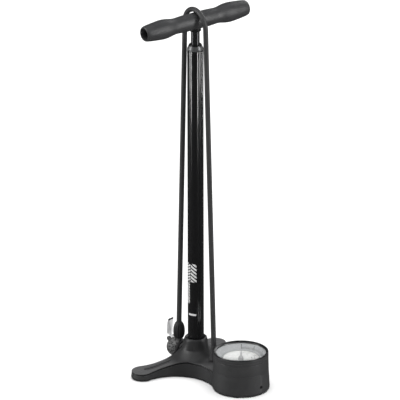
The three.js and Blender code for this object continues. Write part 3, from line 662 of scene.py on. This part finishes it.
def build_casting():
    plan = [(x, y, math.atan2(y, x), math.hypot(x, y)) for x, y in plan_outline()]
    n = len(plan)
    normals = []
    for i in range(n):
        a, b = plan[(i - 1) % n], plan[(i + 1) % n]
        nx, ny = b[1] - a[1], a[0] - b[0]
        l = math.hypot(nx, ny)
        normals.append((nx / l, ny / l))

    def inset(i, d):
        return plan[i][0] - normals[i][0] * d, plan[i][1] - normals[i][1] * d

    def bell_radius(z, theta, R):
        r = smooth_bell(z)
        depth = max(STEM_TOP - z, 0) / 34
        lobed = r * (1 + 0.17 * depth ** 1.3 * math.cos(3 * (theta + math.pi / 2)))
        for c in (math.radians(212.5), math.radians(-32.5)):
            off = abs(math.atan2(math.sin(theta - c), math.cos(theta - c))) * r
            lobed -= 0.55 * ease(depth * 1.3 - 0.15) * math.exp(-(off / 1.5) ** 2)
        return min(lobed, R - 1.5 - 0.4 * depth)

    def smooth_bell(z):
        table = [(-z_, r_) for r_, z_ in BELL]
        return smooth_table(table, -z)
    rings = []
    for r, z in ((14.55, 45.0), (14.55, 61.5), (14.9, 62.1), (15.9, 62.9), (17.0, 64.0), (17.45, 64.4)):
        rings.append([(r * math.cos(p[2]), r * math.sin(p[2]), z) for p in plan])
    for k in range(27):
        t = k / 26
        z = 64.55 - 20.55 * (0.25 * t + 0.75 * t * t if t < 1 else 1.0)
        rings.append([(bell_radius(z, p[2], p[3]) * math.cos(p[2]), bell_radius(z, p[2], p[3]) * math.sin(p[2]), z) for p in plan])
    foot = rings[-1]
    for k in range(1, 25):
        t = (k / 24) ** 1.15
        ring = []
        for i, p in enumerate(plan):
            ox, oy = inset(i, 1.7)
            x, y = foot[i][0] + (ox - foot[i][0]) * t, foot[i][1] + (oy - foot[i][1]) * t
            r = math.hypot(x, y)
            r0 = math.hypot(foot[i][0], foot[i][1])
            z = top_height(r, p[2]) + (foot[i][2] - top_height(r0, p[2])) * math.exp(-max(r - r0, 0) / 2.6)
            ring.append((x, y, z))
        rings.append(ring)
    last = rings[-1]
    # rounded ridge, fine parting groove under it, drafted wall, rounded skirt
    for d, dz in ((1.3, -0.04), (0.9, -0.2), (0.62, -0.5), (0.5, -0.95), (0.6, -1.1), (2.9, -1.3), (2.9, -3.7), (0.65, -3.95), (0.5, -4.1), (0.5, -4.5)):
        rings.append([(*inset(i, d), last[i][2] + dz) for i in range(n)])
    low = rings[-1]
    for t in (0.25, 0.5, 0.75, 1.0):
        ring = []
        for i in range(n):
            z = low[i][2] + (SKIRT + 1.7 - low[i][2]) * t
            ring.append((*inset(i, 0.5 * (1 - t)), z))
        rings.append(ring)
    for d, z in ((0.06, SKIRT + 1.05), (0.35, SKIRT + 0.5), (0.8, SKIRT + 0.15), (1.5, SKIRT), (3.0, SKIRT), (3.4, SKIRT + 0.5), (3.8, SKIRT + 2.2)):
        rings.append([(*inset(i, d), z) for i in range(n)])
    verts = [p for ring in rings for p in ring]
    faces = []
    for k in range(len(rings) - 1):
        for i in range(n):
            j = (i + 1) % n
            faces.append((k * n + i, (k + 1) * n + i, (k + 1) * n + j, k * n + j))
    top = len(verts)
    verts.append((0.0, 0.0, 45.0))
    bottom = len(verts)
    verts.append((0.0, 0.0, SKIRT + 2.2))
    faces += [(top, i, (i + 1) % n) for i in range(n)]
    base_row = (len(rings) - 1) * n
    faces += [(bottom, base_row + (i + 1) % n, base_row + i) for i in range(n)]
    return verts, faces


def turned_raw(name, profile, seg=64, at=(0, 0, 0), axis="Z", r=0.0, yaw=0.0):
    pts = fillet(profile, r, 4, False)
    v, f = turn_points(pts, seg, not (profile[0][0] < 1e-6 and profile[-1][0] < 1e-6))
    return raw_object(name, place(v, axis, at, yaw), f)


casting = raw_object("casting_raw", *build_casting())
cut(casting, [turned_raw("cup_wall", [(0, SKIRT + 2.2), (46.9, SKIRT + 2.2), (47.3, SKIRT + 0.3), (47.7, SKIRT), (49.4, SKIRT), (50.1, SKIRT + 0.3), (50.5, SKIRT + 1.4),
                                      (50.4, 6), (49.0, 37.2), (48.97, 37.85, 0.04), (48.2, 37.9), (0, 37.9)], 144, (0, DRUM_Y, 0))], "UNION")
tools = [
    turned_raw("cup", [(0, 6), (46.7, 6), (46.7, 37.0), (47.0, 37.6), (47.0, 60), (0, 60)], 160, (0, DRUM_Y, 0)),
    turned_raw("spot", [(0, 30.6), (8.2, 30.6, 0.4), (8.2, 60), (0, 60)], 64, (0, GLAND_Y, 0), r=0.3),
    turned_raw("lock_hole", [(0, -6), (3.7, -6), (3.7, -2.2), (3.1, -1.2), (3.1, 6), (0, 6)], 48, (0, DRUM_Y - 49.1, 14.2), axis="Y"),
]
for sign in (-1, 1):
    ang = math.radians(90 + sign * 65)
    ux, uy = math.cos(ang), math.sin(ang)
    for lateral in (-4.6, 0.0, 4.6):
        path = []
        s0, s1 = (50, 95) if lateral else (47, 97)
        for i in range(25):
            s = s0 + (s1 - s0) * i / 24
            x, y = ux * s - uy * lateral, uy * s + ux * lateral
            path.append((x, y, top_height(math.hypot(x, y), ang) + 0.55))
        v, f = tube(path, lambda i: 1.5 if 0 < i < 24 else 0.6, 16)
        tools.append(raw_object("groove", v, f))
    v, f = turn_points([(0, -18), (6, -17), (12, -13.4), (16, -8), (18, 0), (12, 13.4), (0, 18)], 48, False)
    tools.append(raw_object("dimple", place(v, "Z", (ux * 105.5, uy * 105.5, 14.2 + 17.1)), f))
cut(casting, tools)
post = [turned_raw("pad", [(0, 18), (8.4, 18), (8.4, 28.7, 0.6), (7.6, 29.3), (0, 29.3)], 64, (0, 0, HEAD_Z), axis="Y", r=0.4),
        turned_raw("post", [(0, 24), (3.4, 24), (3.4, 31.6, 0.5), (2.9, 32.2), (0, 32.2)], 48, (0, 0, HEAD_Z), axis="Y", r=0.3)]
cut(casting, post, "UNION")
adopt(casting, "tripod_base", casting_m, "base", ("base_casting",), 30)

for name, (x, y), r, top_z in (("foot_left", TIP_LEFT, 13.0, 3.6), ("foot_right", TIP_RIGHT, 13.0, 3.6),
                               ("foot_front_left", (-34.3, DRUM_Y - 24.3), 8.5, 2.0), ("foot_front_right", (34.3, DRUM_Y - 24.3), 8.5, 2.0)):
    prof = [(0, 0.35), (2.2, 0.35), (2.6, 0), (3.6, 0), (4.0, 0.35), (5.0, 0.35), (5.4, 0)]
    if r > 10:
        prof += [(6.8, 0), (7.2, 0.35), (8.2, 0.35), (8.6, 0), (9.8, 0), (10.2, 0.35), (11.0, 0.35), (11.4, 0)]
    prof += [(r - 0.7, 0), (r, 0.7, 0.4), (r, 1.7), (r - 0.4, top_z), (0, top_z)]
    lathe(name + "_pad", prof, rubber_m, "base", (name,), "rubber", 72, (x, y, 0), r=0.12, steps=3)

# ------------------------------------------------------------------ barrel, cap, rod
lathe("barrel", [(12.75, 22), (14.25, 22), (14.25, 605.7, 0.25), (12.75, 605.7)], barrel_m, "base", ("barrel_tube",), "barrel_paint",
      144, r=0.25)
lathe("barrel_cap", [(10.4, 588), (12.4, 588), (12.4, 606.0, 0), (14.25, 606.0, 0.3), (14.25, 608.4, 0.5), (13.6, 609.7, 0.7), (11.9, 614.0, 0.6),
                     (10.4, 614.0, 0.2)], cap_m, "base", ("barrel_top_cap",), "cap_alloy", 128, r=0.2)
lathe("rod_guide", [(7.85, 590), (10.1, 590), (10.1, 614.2), (11.3, 614.3, 0.2), (10.9, 615.7, 0.5), (8.6, 615.9, 0.4), (7.85, 615.0, 0.2)], bezel_m, "base",
      ("rod_bushing",), "bezel_black", 96, r=0.15)
lathe("pump_rod", [(5.9, 72.3), (7.7, 72.3), (7.7, 663.4), (5.9, 663.4)], rod_m, "piston", ("piston_rod",), "steel", 96, r=0.3)

# ------------------------------------------------------------------ handle
HANDLE = [(0, 15.0), (12, 15.0), (25, 14.95), (34, 14.5), (43, 14.05), (50, 14.6), (59, 16.3), (68, 17.35), (77, 17.2), (86, 16.4), (93, 15.75),
          (100, 14.95), (106, 13.9), (108.2, 13.2), (109.4, 12.4), (109.95, 11.7), (110, 11.2)]


def handle_ripple(r, z, a):
    """Fine moulded ribs round the two hand zones."""
    if r < 12.6:
        return r
    zone = ease((abs(z) - 50) / 6) * (1 - ease((abs(z) - 98) / 6))
    return r - 0.16 * zone * (0.5 - 0.5 * math.cos(2 * math.pi * z / 2.6))


side = []
for i in range(1, 420):
    x = -110 + 220 * i / 420
    side.append((smooth_table(HANDLE, abs(x)), x))
grip_profile = [(0, -78, 0), (9.4, -78, 0), (10.3, -77.2, 0), (10.4, -109.2, 0), (10.7, -109.8, 0), (11.2, -110, 0)]
grip_profile += [(r, x, 0) for r, x in side]
grip_profile += [(11.2, 110, 0), (10.7, 109.8, 0), (10.4, 109.2, 0), (10.3, 77.2, 0), (9.4, 78, 0), (0, 78, 0)]
v, f = turn_points([(p[0], p[1]) for p in grip_profile], 112, False, handle_ripple)
grip = raw_object("grip_raw", place(v, "X", (0, 0, 659.0), YAW), f)
cut(grip, [turned_raw("socket", [(0, 630), (11.2, 630), (11.2, 644.6), (10.4, 645.6), (10.4, 664.4), (0, 664.4)], 64)])
adopt(grip, "handle_bar", grip_m, "handle", ("handle_grip",), 40)
lathe("handle_collar", [(8, 640.6), (9.4, 640.6, 0.5), (10.1, 642.2, 0.5), (10.1, 663.9), (8, 663.9)], bezel_m, "handle", ("handle_ferrule",),
      "bezel_black", 72, r=0.2)

# ------------------------------------------------------------------ hose gland
lathe("gland_nut", [(3.2, 26.5), (5.0, 26.5), (5.0, 31.0), (7.6, 31.0, 0.3), (7.6, 35.0, 0.6), (7.0, 37.0, 0.5), (6.7, 42, 0.3), (6.35, 42.2, 0.2), (6.35, 43.6, 0.2),
                    (6.6, 43.8, 0.3), (6.3, 47.8, 0.3), (5.95, 48.0, 0.2), (5.95, 49.4, 0.2), (6.2, 49.6, 0.3), (5.9, 53.6, 0.3), (5.55, 53.8, 0.2),
                    (5.55, 55.2, 0.2), (5.75, 55.4, 0.3), (5.4, 59.2, 0.5), (4.9, 60.0, 0.2), (4.75, 57.2), (3.2, 57.2)], sleeve_m, "base",
      ("hose_gland_nut",), "bezel_black", 96, (0, GLAND_Y, 0), r=0.2,
      ripple=lambda r, z, a: r if r < 7.3 else r - 0.28 * max(0.0, math.cos(12 * a)) ** 3)

# ------------------------------------------------------------------ pressure gauge
lathe("gauge_shell", [(43.8, 9), (46.2, 9), (46.2, 38.02, 0), (48.85, 38.02, 0.04), (48.96, 38.14, 0.04), (48.85, 46), (48.6, 57.7, 0.2), (48.35, 58.2, 0.1), (43.8, 58.2)],
      casting_m, "base", ("gauge_case",), "casting_plastic", 192, (0, DRUM_Y, 0), r=0.3)
bezel = lathe("gauge_rim", [
    (44.9, 58.6), (48.35, 58.6, 0.2), (48.65, 59.0, 0.2), (48.65, 61.9, 0.12), (48.15, 62.15, 0.1), (48.15, 62.6, 0.1), (48.6, 62.85, 0.12), (48.55, 66.6, 0.3),
    (48.45, 68.2, 0.5), (47.8, 69.0, 0.5), (46.6, 68.7, 0.5), (43.95, 67.8, 0.3), (43.8, 67.3, 0.2), (43.8, 65.9, 0.1), (44.9, 65.9)],
    None, "base", ("gauge_bezel",), "bezel_black", 192, (0, DRUM_Y, 0), r=0.2)
bezel.data.materials.append(casting_m)
bezel.data.materials.append(bezel_m)
for p in bezel.data.polygons:
    if p.center.z > 67.4 * MM:
        p.material_index = 1

lens_nodes = bpy.data.materials.new("gauge_glass")
lens_nodes.use_nodes = True
nt = lens_nodes.node_tree
glass = nt.nodes["Principled BSDF"]
glass.inputs["Base Color"].default_value = (0.97, 0.98, 0.98, 1)
glass.inputs["Roughness"].default_value = 0.015
glass.inputs["Transmission Weight"].default_value = 1.0
glass.inputs["IOR"].default_value = 1.46
out = nt.nodes["Material Output"]
clear = nt.nodes.new("ShaderNodeBsdfTransparent")
path_n = nt.nodes.new("ShaderNodeLightPath")
either = nt.nodes.new("ShaderNodeMath")
either.operation = "MAXIMUM"
nt.links.new(path_n.outputs["Is Shadow Ray"], either.inputs[0])
nt.links.new(path_n.outputs["Is Diffuse Ray"], either.inputs[1])
mixs = nt.nodes.new("ShaderNodeMixShader")
nt.links.new(either.outputs[0], mixs.inputs[0])
nt.links.new(glass.outputs[0], mixs.inputs[1])
nt.links.new(clear.outputs[0], mixs.inputs[2])
nt.links.new(mixs.outputs[0], out.inputs["Surface"])
lathe("gauge_window", [(0, 63.4), (44.6, 63.4, 0.1), (44.6, 65.6, 0.2), (43.0, 65.7, 0.3), (38, 65.85, 1), (25, 66.0, 2), (0, 66.1)], lens_nodes, "base", ("gauge_lens",), "lens_clear",
      128, (0, DRUM_Y, 0), r=0.15)
lathe("gauge_chapter", [(34.6, 52.4), (43.4, 52.4), (43.4, 58.3), (44.6, 58.6), (44.6, 63.1), (43.2, 63.1, 0.3), (35.0, 53.35, 0.4), (34.6, 53.0)],
      chapter_m, "base", ("gauge_chapter_ring",), "chapter_grey", 160, (0, DRUM_Y, 0), r=0.15)
lathe("gauge_face", [(2.6, 50.6), (43.2, 50.6), (43.2, 52.1), (2.6, 52.1)], dial_m, "base", ("gauge_dial",), "dial_white", 128, (0, DRUM_Y, 0), r=0.2)

# the reader stands behind the pump (+Y): zero is at their half past seven, and the scale runs 270 degrees clockwise
ZERO = math.atan2(0.685, 0.73)


def dial_dir(turn):
    a = ZERO - math.radians(turn)
    return math.cos(a), math.sin(a)


def slab(c0, c1, width, z0, z1, thick=0.12):
    """A thin printed bar from c0 to c1 (x, y), rising from z0 to z1."""
    dx, dy = c1[0] - c0[0], c1[1] - c0[1]
    l = math.hypot(dx, dy)
    nx, ny = -dy / l * width / 2, dx / l * width / 2
    v = []
    for (x, y), z in ((c0, z0), (c1, z1)):
        for s in (-1, 1):
            for h in (-thick / 2, thick / 2):
                v.append((x + nx * s, y + ny * s, z + h))
    f = [(0, 1, 3, 2), (4, 6, 7, 5), (0, 4, 5, 1), (2, 3, 7, 6), (0, 2, 6, 4), (1, 5, 7, 3)]
    return v, f


def shifted(v, dy):
    return [(x, y + dy, z) for x, y, z in v]


parts, red_parts = [], []
slope = (63.1 - 53.35) / (43.2 - 35.0)
for i in range(81):
    c, s = dial_dir(270 * i / 80)
    r0 = 36.0
    r1 = 42.6 if i % 10 == 0 else 40.6 if i % 5 == 0 else 38.8
    z0, z1 = 53.35 + (r0 - 35) * slope + 0.06, 53.35 + (r1 - 35) * slope + 0.06
    v, f = slab((c * r0, s * r0), (c * r1, s * r1), 0.85 if i % 10 == 0 else 0.42, z0, z1)
    parts.append((shifted(v, DRUM_Y), f))
for i in range(56):
    c, s = dial_dir(270 * i / 55)
    major = i % 5 == 0
    v, f = slab((c * (29.2 if major else 31.2), s * (29.2 if major else 31.2)), (c * 33.4, s * 33.4), 0.75 if major else 0.35, 52.12, 52.12, 0.1)
    (parts if i < 40 else red_parts).append((shifted(v, DRUM_Y), f))
ring_steps = 180
for r_in, r_out, store, t0, t1 in ((28.3, 28.7, parts, 0, 270),):
    v, f = [], []
    for i in range(ring_steps + 1):
        c, s = dial_dir(t0 + (t1 - t0) * i / ring_steps)
        for r in (r_in, r_out):
            for z in (52.08, 52.18):
                v.append((c * r, s * r + DRUM_Y, z))
    for i in range(ring_steps):
        a, b = 4 * i, 4 * (i + 1)
        f += [(a, b, b + 1, a + 1), (a + 2, a + 3, b + 3, b + 2), (a + 1, b + 1, b + 3, a + 3), (a, a + 2, b + 2, b)]
    f += [(0, 1, 3, 2), (4 * ring_steps, 4 * ring_steps + 2, 4 * ring_steps + 3, 4 * ring_steps + 1)]
    store.append((v, f))
finish_mesh("dial_scale", *merged(parts), ink_m, "base", (), "needle_paint", weld=False)
finish_mesh("dial_scale_red", *merged(red_parts), ink_red_m, "base", (), "needle_paint", weld=False)


def numeral(text, size, at, z, mat, name):
    """A printed number, upright for the reader behind the pump."""
    curve = bpy.data.curves.new(name, "FONT")
    curve.body = text
    curve.size = size * MM
    curve.extrude = 0.00004
    curve.align_x = "CENTER"
    curve.align_y = "CENTER"
    curve.resolution_u = 6
    o = bpy.data.objects.new(name, curve)
    bpy.context.scene.collection.objects.link(o)
    o.rotation_euler = (0, 0, math.pi)
    o.location = (at[0] * MM, (at[1] + AY) * MM, z * MM)
    bpy.context.view_layer.update()
    me = bpy.data.meshes.new_from_object(o.evaluated_get(bpy.context.evaluated_depsgraph_get()))
    me.transform(o.matrix_world)
    bpy.data.objects.remove(o)
    return me


numbers = bmesh.new()
for i, value in enumerate(range(0, 12)):
    c, s = dial_dir(270 * i / 11)
    numbers.from_mesh(numeral(str(value), 5.4, (c * 24.2, s * 24.2 + DRUM_Y), 52.14, ink_m, "n"))
me = bpy.data.meshes.new("dial_numbers")
numbers.to_mesh(me)
numbers.free()
finish_object("dial_numbers", me, ink_m, "base", ())

# pointer
needle_plan = [(-11, -1.7), (-10.2, -2.3), (-5, -2.4), (2, -2.4), (31, -0.55), (32.4, 0), (31, 0.55), (2, 2.4), (-5, 2.4), (-10.2, 2.3), (-11, 1.7)]
rounded_plan = fillet(needle_plan, 0.6, 3, True)
c, s = math.cos(ZERO), math.sin(ZERO)
nv, nf = [], []
for z, grow in ((54.4, 0.0), (54.45, 0.06), (55.0, 0.06), (55.2, -0.12)):
    for x, y in rounded_plan:
        k = 1 + grow / 4
        nv.append((x * c - y * k * s, x * s + y * k * c + DRUM_Y, z))
m_ = len(rounded_plan)
for k in range(3):
    for i in range(m_):
        nf.append((k * m_ + i, k * m_ + (i + 1) % m_, (k + 1) * m_ + (i + 1) % m_, (k + 1) * m_ + i))
nf += [tuple(reversed(range(m_))), tuple(3 * m_ + i for i in range(m_))]
finish_mesh("pointer", nv, nf, needle_m, "needle", ("gauge_needle",), "needle_paint")
lathe("pointer_hub", [(0, 44.2), (1.3, 44.2), (1.3, 55.5), (4.4, 55.5, 0.2), (4.4, 56.9, 0.5), (3.2, 58.0, 0.6), (1.4, 58.0, 0.2), (1.1, 57.6), (0, 57.6)], needle_m, "needle",
      ("needle_hub",), "needle_paint", 64, (0, DRUM_Y, 0), r=0.2)

# lock screw with a hexagon socket
screw = turned_raw("screw", [(0, 0), (2.7, 0), (2.7, 2.1, 0.3), (2.3, 2.5, 0.1), (0, 2.5)], 48, (0, 0, 0), r=0.1)
hexv = []
for z in (-1.0, 1.6):
    for i in range(6):
        hexv.append((1.35 * math.cos(math.pi * i / 3), 1.35 * math.sin(math.pi * i / 3), z))
hexf = [(i, (i + 1) % 6, 6 + (i + 1) % 6, 6 + i) for i in range(6)] + [tuple(reversed(range(6))), tuple(range(6, 12))]
hexo = raw_object("hex", hexv, hexf)
cut(screw, [hexo])
screw.data.transform(Matrix.Translation((0, -AY * MM, 0)))
# the socket faces -Y, out of the drum
screw.data.transform(Matrix.Rotation(math.radians(-90), 4, "X"))
screw.data.transform(Matrix.Translation((0, (DRUM_Y - 46.5 - 2.7 + AY) * MM, 14.2 * MM)))
adopt(screw, "lock_screw", rod_m, "base", ("gauge_lock_screw",), 30)

# ------------------------------------------------------------------ pump head, parked behind the stem
PIVOT_Y, PIVOT_Z = 61.0, 44.0
body = turned_raw("head_raw", [(0, 30.0), (10.6, 30.0, 0.5), (12.0, 31.4, 0.8), (12.0, 36.3), (15.2, 36.3, 0.4), (16.4, 38.2, 1.5), (17.3, 42, 3), (17.5, 46, 3),
                               (17.3, 50.4, 3), (16.4, 54.4, 3), (14.7, 57.8, 2.5), (12.4, 60.4, 1.8), (9.8, 61.8, 1.0), (8.0, 62.0, 0.3), (7.4, 61.2, 0.3), (0, 61.2)],
                  160, (0, 0, HEAD_Z), axis="Y", r=0.3)
neck = turned_raw("neck", [(0, HEAD_Z), (4.9, HEAD_Z), (4.9, 50.2, 0.3), (0, 50.2)], 64, (0, HEAD_Y, 0), r=0.2)
ears = [turned_raw("ear", [(0, a), (4.2, a, 0.5), (4.2, b, 0.5), (0, b)], 48, (0, PIVOT_Y, PIVOT_Z), axis="X", r=0.4) for a, b in ((-7.2, -3.7), (3.7, 7.2))]
cut(body, [neck] + ears, "UNION")
v, f = box_points(-3.7, 3.7, 56.6, 72, 36.6, 60)
cut(body, [
    turned_raw("port", [(0, 24), (9, 24), (9, 46.2), (0, 46.2)], 64, (0, 0, HEAD_Z), axis="Y"),
    turned_raw("bore", [(0, 40), (5, 40), (5, 61), (0, 61)], 48, (0, 0, HEAD_Z), axis="Y"),
    raw_object("slot", v, f),
    turned_raw("pinhole", [(0, -20), (1.7, -20), (1.7, 20), (0, 20)], 32, (0, PIVOT_Y, PIVOT_Z), axis="X"),
])
bevelled(body, 0.25, 2, 50)
adopt(body, "head_shell", shell_m, "pump_head", ("head_body",), 34)


def knurl(r, z, a):
    """Crossed knurling on the ring's outer face."""
    if r < 14.6:
        return r
    edge = ease((z - 31.7) / 0.7) * (1 - ease((z - 35.2) / 0.5))
    p, q = math.sin(26 * a + 1.15 * z), math.sin(26 * a - 1.15 * z)
    return r - 0.5 * edge * (1 - max(p, q) * 0.5 - 0.5)


ring_profile = [(12.4, 31.4), (13.8, 31.4), (14.6, 31.7)] + [(smooth_table([(31.7, 14.7), (32.6, 15.4), (34, 16.05), (35.7, 16.45)], 31.7 + 4.0 * i / 16), 31.7 + 4.0 * i / 16) for i in range(17)] + [(16.2, 35.95), (12.4, 35.95)]
v, f = turn_points(ring_profile, 208, True, knurl)
finish_mesh("head_grip_ring", place(v, "Y", (0, 0, HEAD_Z)), f, head_m, "pump_head", ("head_ring",), "head_plastic", 60)
lathe("head_seal", [(4, 30.4, 0.6), (8.7, 30.4, 0.4), (8.7, 45.7), (4, 45.7)], rubber_m, "pump_head", ("valve_grommet",), "rubber", 64, (0, 0, HEAD_Z), axis="Y", r=0.3)
lathe("lever_axle", [(0, -7.5), (1.5, -7.5, 0.3), (1.5, 7.5, 0.3), (0, 7.5)], plated_m, "pump_head", ("lever_pin",), "plated_steel", 40, (0, PIVOT_Y, PIVOT_Z),
      axis="X", r=0.25)


def collar_ribs(r, z, a):
    """Upright finger ribs on the swollen part of the hose collar."""
    w = ease((z - 52) / 4) * (1 - ease((z - 72) / 5))
    if r < 6.2:
        return r
    return r - 0.95 * w * (0.5 - 0.5 * math.cos(12 * a)) ** 2


COLLAR = [(50.6, 7.3), (51.6, 7.9), (53.2, 8.7), (55.5, 9.6), (58.5, 10.2), (63, 10.5), (67, 10.25), (71, 9.6), (75, 8.4), (78, 6.9), (79.4, 6.0), (80.0, 5.4)]
outer = [(smooth_table(COLLAR, 50.6 + 29.4 * i / 44), 50.6 + 29.4 * i / 44) for i in range(45)]
v, f = turn_points([(3.2, 50.6)] + outer + [(4.95, 80.0), (4.8, 77.0), (3.2, 77.0)], 140, True, collar_ribs)
finish_mesh("hose_sleeve", place(v, "Z", (0, HEAD_Y, 0)), f, head_m, "pump_head", ("hose_collar",), "rubber", 45)

# flip lever: a bent plate with a rolled hub
LEVER = [(-2.4, 1.2), (0.2, 5.0), (2.4, 8.4), (3.2, 12.5), (3.1, 18), (2.8, 24), (2.2, 30), (1.3, 34), (0.1, 36.8)]


def lever_half(t):
    """Half width of the plate along its length, narrow at the hub."""
    return 3.3 + 3.95 * ease((t - 0.13) / 0.10) - 1.1 * ease((t - 0.86) / 0.14)


centre = []
for k in range(61):
    t = k / 60
    zz = 1.2 + (36.8 - 1.2) * t
    table = [(z_, y_) for y_, z_ in LEVER]
    centre.append((smooth_table(table, zz), zz, t))
lv, lf = [], []
half_thick = 1.0
cross = []
for i, (y_, z_, t) in enumerate(centre):
    a, b = centre[max(i - 1, 0)], centre[min(i + 1, 60)]
    ty, tz = b[0] - a[0], b[1] - a[1]
    l = math.hypot(ty, tz)
    ny, nz = tz / l, -ty / l
    w = lever_half(t)
    th = half_thick * (1.25 - 0.25 * ease(t / 0.3))
    # a dished section with rounded rims
    section = []
    for k in range(13):
        q = -1 + 2 * k / 12
        section.append((q * w, th * (1 - 0.75 * abs(q) ** 8) + 0.35 * (q * q)))
    for k in range(13):
        q = 1 - 2 * k / 12
        section.append((q * w, -th * (1 - 0.75 * abs(q) ** 8) + 0.35 * (q * q)))
    cross.append(len(lv))
    for sx, sn in section:
        lv.append((sx, PIVOT_Y + y_ + ny * sn, PIVOT_Z + z_ + nz * sn))
ns = 26
for i in range(60):
    for k in range(ns):
        j = (k + 1) % ns
        lf.append((cross[i] + k, cross[i] + j, cross[i + 1] + j, cross[i + 1] + k))
lf += [tuple(reversed(range(ns))), tuple(cross[60] + k for k in range(ns))]
lever = raw_object("lever_raw", lv, lf)
cut(lever, [turned_raw("hub", [(0, -3.3), (3.9, -3.3, 0.5), (3.9, 3.3, 0.5), (0, 3.3)], 56, (0, PIVOT_Y, PIVOT_Z), axis="X", r=0.4)], "UNION")
cut(lever, [turned_raw("hole", [(0, -20), (1.65, -20), (1.65, 20), (0, 20)], 32, (0, PIVOT_Y, PIVOT_Z), axis="X")])
lever = adopt(lever, "flip_lever", alloy_m, "head_lever", ("head_lever",), 40) or bpy.data.objects["flip_lever"]
lever.data.materials.append(head_m)
for p in lever.data.polygons:
    if p.center.z > (PIVOT_Z + 34.4) * MM:
        p.material_index = 1

# inner pieces keep their CAD shape and get their real finish
for node, mat in {
    "barrel_foot_plug": brass_m, "plug_seal_ring": rubber_m, "check_valve_spring": plated_m, "hose_gland_barb": brass_m,
    "gauge_movement": plated_m, "bourdon_tube": brass_m, "gauge_inlet_block": brass_m, "piston_head": acetal_m,
    "piston_cup_seal": rubber_m, "piston_washer": plated_m, "piston_nut": plated_m, "hose_barb": brass_m,
    "head_plunger": acetal_m, "check_valve_ball": plated_m,
}.items():
    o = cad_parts[node]
    o.data.materials.clear()
    o.data.materials.append(mat)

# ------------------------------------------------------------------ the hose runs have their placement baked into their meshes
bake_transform(hose_upper)
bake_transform(hose_lower)

# ------------------------------------------------------------------ floor and light
floor_mesh = bpy.data.meshes.new("floor")
floor_mesh.from_pydata([(-40, -40, 0), (40, -40, 0), (40, 40, 0), (-40, 40, 0)], [], [(0, 1, 2, 3)])
floor = bpy.data.objects.new("floor", floor_mesh)
bpy.context.scene.collection.objects.link(floor)
fm = bpy.data.materials.new("floor")
fm.use_nodes = True
fb = fm.node_tree.nodes["Principled BSDF"]
fb.inputs["Base Color"].default_value = (0.93, 0.93, 0.93, 1)
fb.inputs["Roughness"].default_value = 0.9
fb.inputs["Specular IOR Level"].default_value = 0.0
floor_mesh.materials.append(fm)
floor.visible_glossy = False
# the upright lights stand close to the floor, so they leave it alone and the sky alone lights it
off_floor = bpy.data.collections.new("off_floor")
off_floor.objects.link(floor)
off_floor.collection_objects[0].light_linking.link_state = "EXCLUDE"

world = bpy.data.worlds.new("studio")
bpy.context.scene.world = world
world.use_nodes = True
wn = world.node_tree
bg = wn.nodes["Background"]
bg.inputs["Color"].default_value = (1, 1, 1, 1)
lp = wn.nodes.new("ShaderNodeLightPath")
seen = wn.nodes.new("ShaderNodeMapRange")
seen.inputs["To Min"].default_value = 0.07
seen.inputs["To Max"].default_value = 1.0
wn.links.new(lp.outputs["Is Camera Ray"], seen.inputs["Value"])
wn.links.new(seen.outputs["Result"], bg.inputs["Strength"])


def area(name, where, size, size_y, power, at=(0, AY * MM, 0.33)):
    d = bpy.data.lights.new(name, "AREA")
    d.shape = "RECTANGLE"
    d.size, d.size_y = size, size_y
    d.energy = power
    o = bpy.data.objects.new(name, d)
    bpy.context.scene.collection.objects.link(o)
    o.visible_camera = False
    o.light_linking.receiver_collection = off_floor
    o.location = where
    o.rotation_euler = (Vector(at) - Vector(where)).to_track_quat("-Z", "Y").to_euler()
    return o


def around(turn, radius, height):
    """A place at that turn from the camera's azimuth, positive to the right in the picture."""
    a = AZ + math.radians(turn)
    return (math.sin(a) * radius, -math.cos(a) * radius + AY * MM, height)


sun = bpy.data.lights.new("sky", "SUN")
sun.energy = 4.3
sun.angle = math.radians(84)
sky = bpy.data.objects.new("sky", sun)
bpy.context.scene.collection.objects.link(sky)
sky.visible_glossy = False
area("soft_left", around(-80, 2.2, 1.0), 0.6, 2.6, 38)
area("soft_right", around(66, 2.4, 1.0), 0.45, 2.6, 40)
# the narrow strips draw the long streaks on the glossy barrel, and only there
on_barrel = bpy.data.collections.new("on_barrel")
on_barrel.objects.link(bpy.data.objects["barrel"])
for turn, power in ((-58, 40.0), (33, 46.0), (108, 24.0)):
    strip = area("strip", around(turn, 2.4, 0.9), 0.12, 2.6, power)
    strip.visible_diffuse = False
    strip.light_linking.receiver_collection = on_barrel
area("soft_back", around(150, 2.6, 1.4), 1.2, 1.6, 16)

scene = bpy.context.scene
scene.view_settings.view_transform = "Standard"
scene.view_settings.look = "None"
scene.view_settings.exposure = 0.0

bpy.context.view_layer.update()
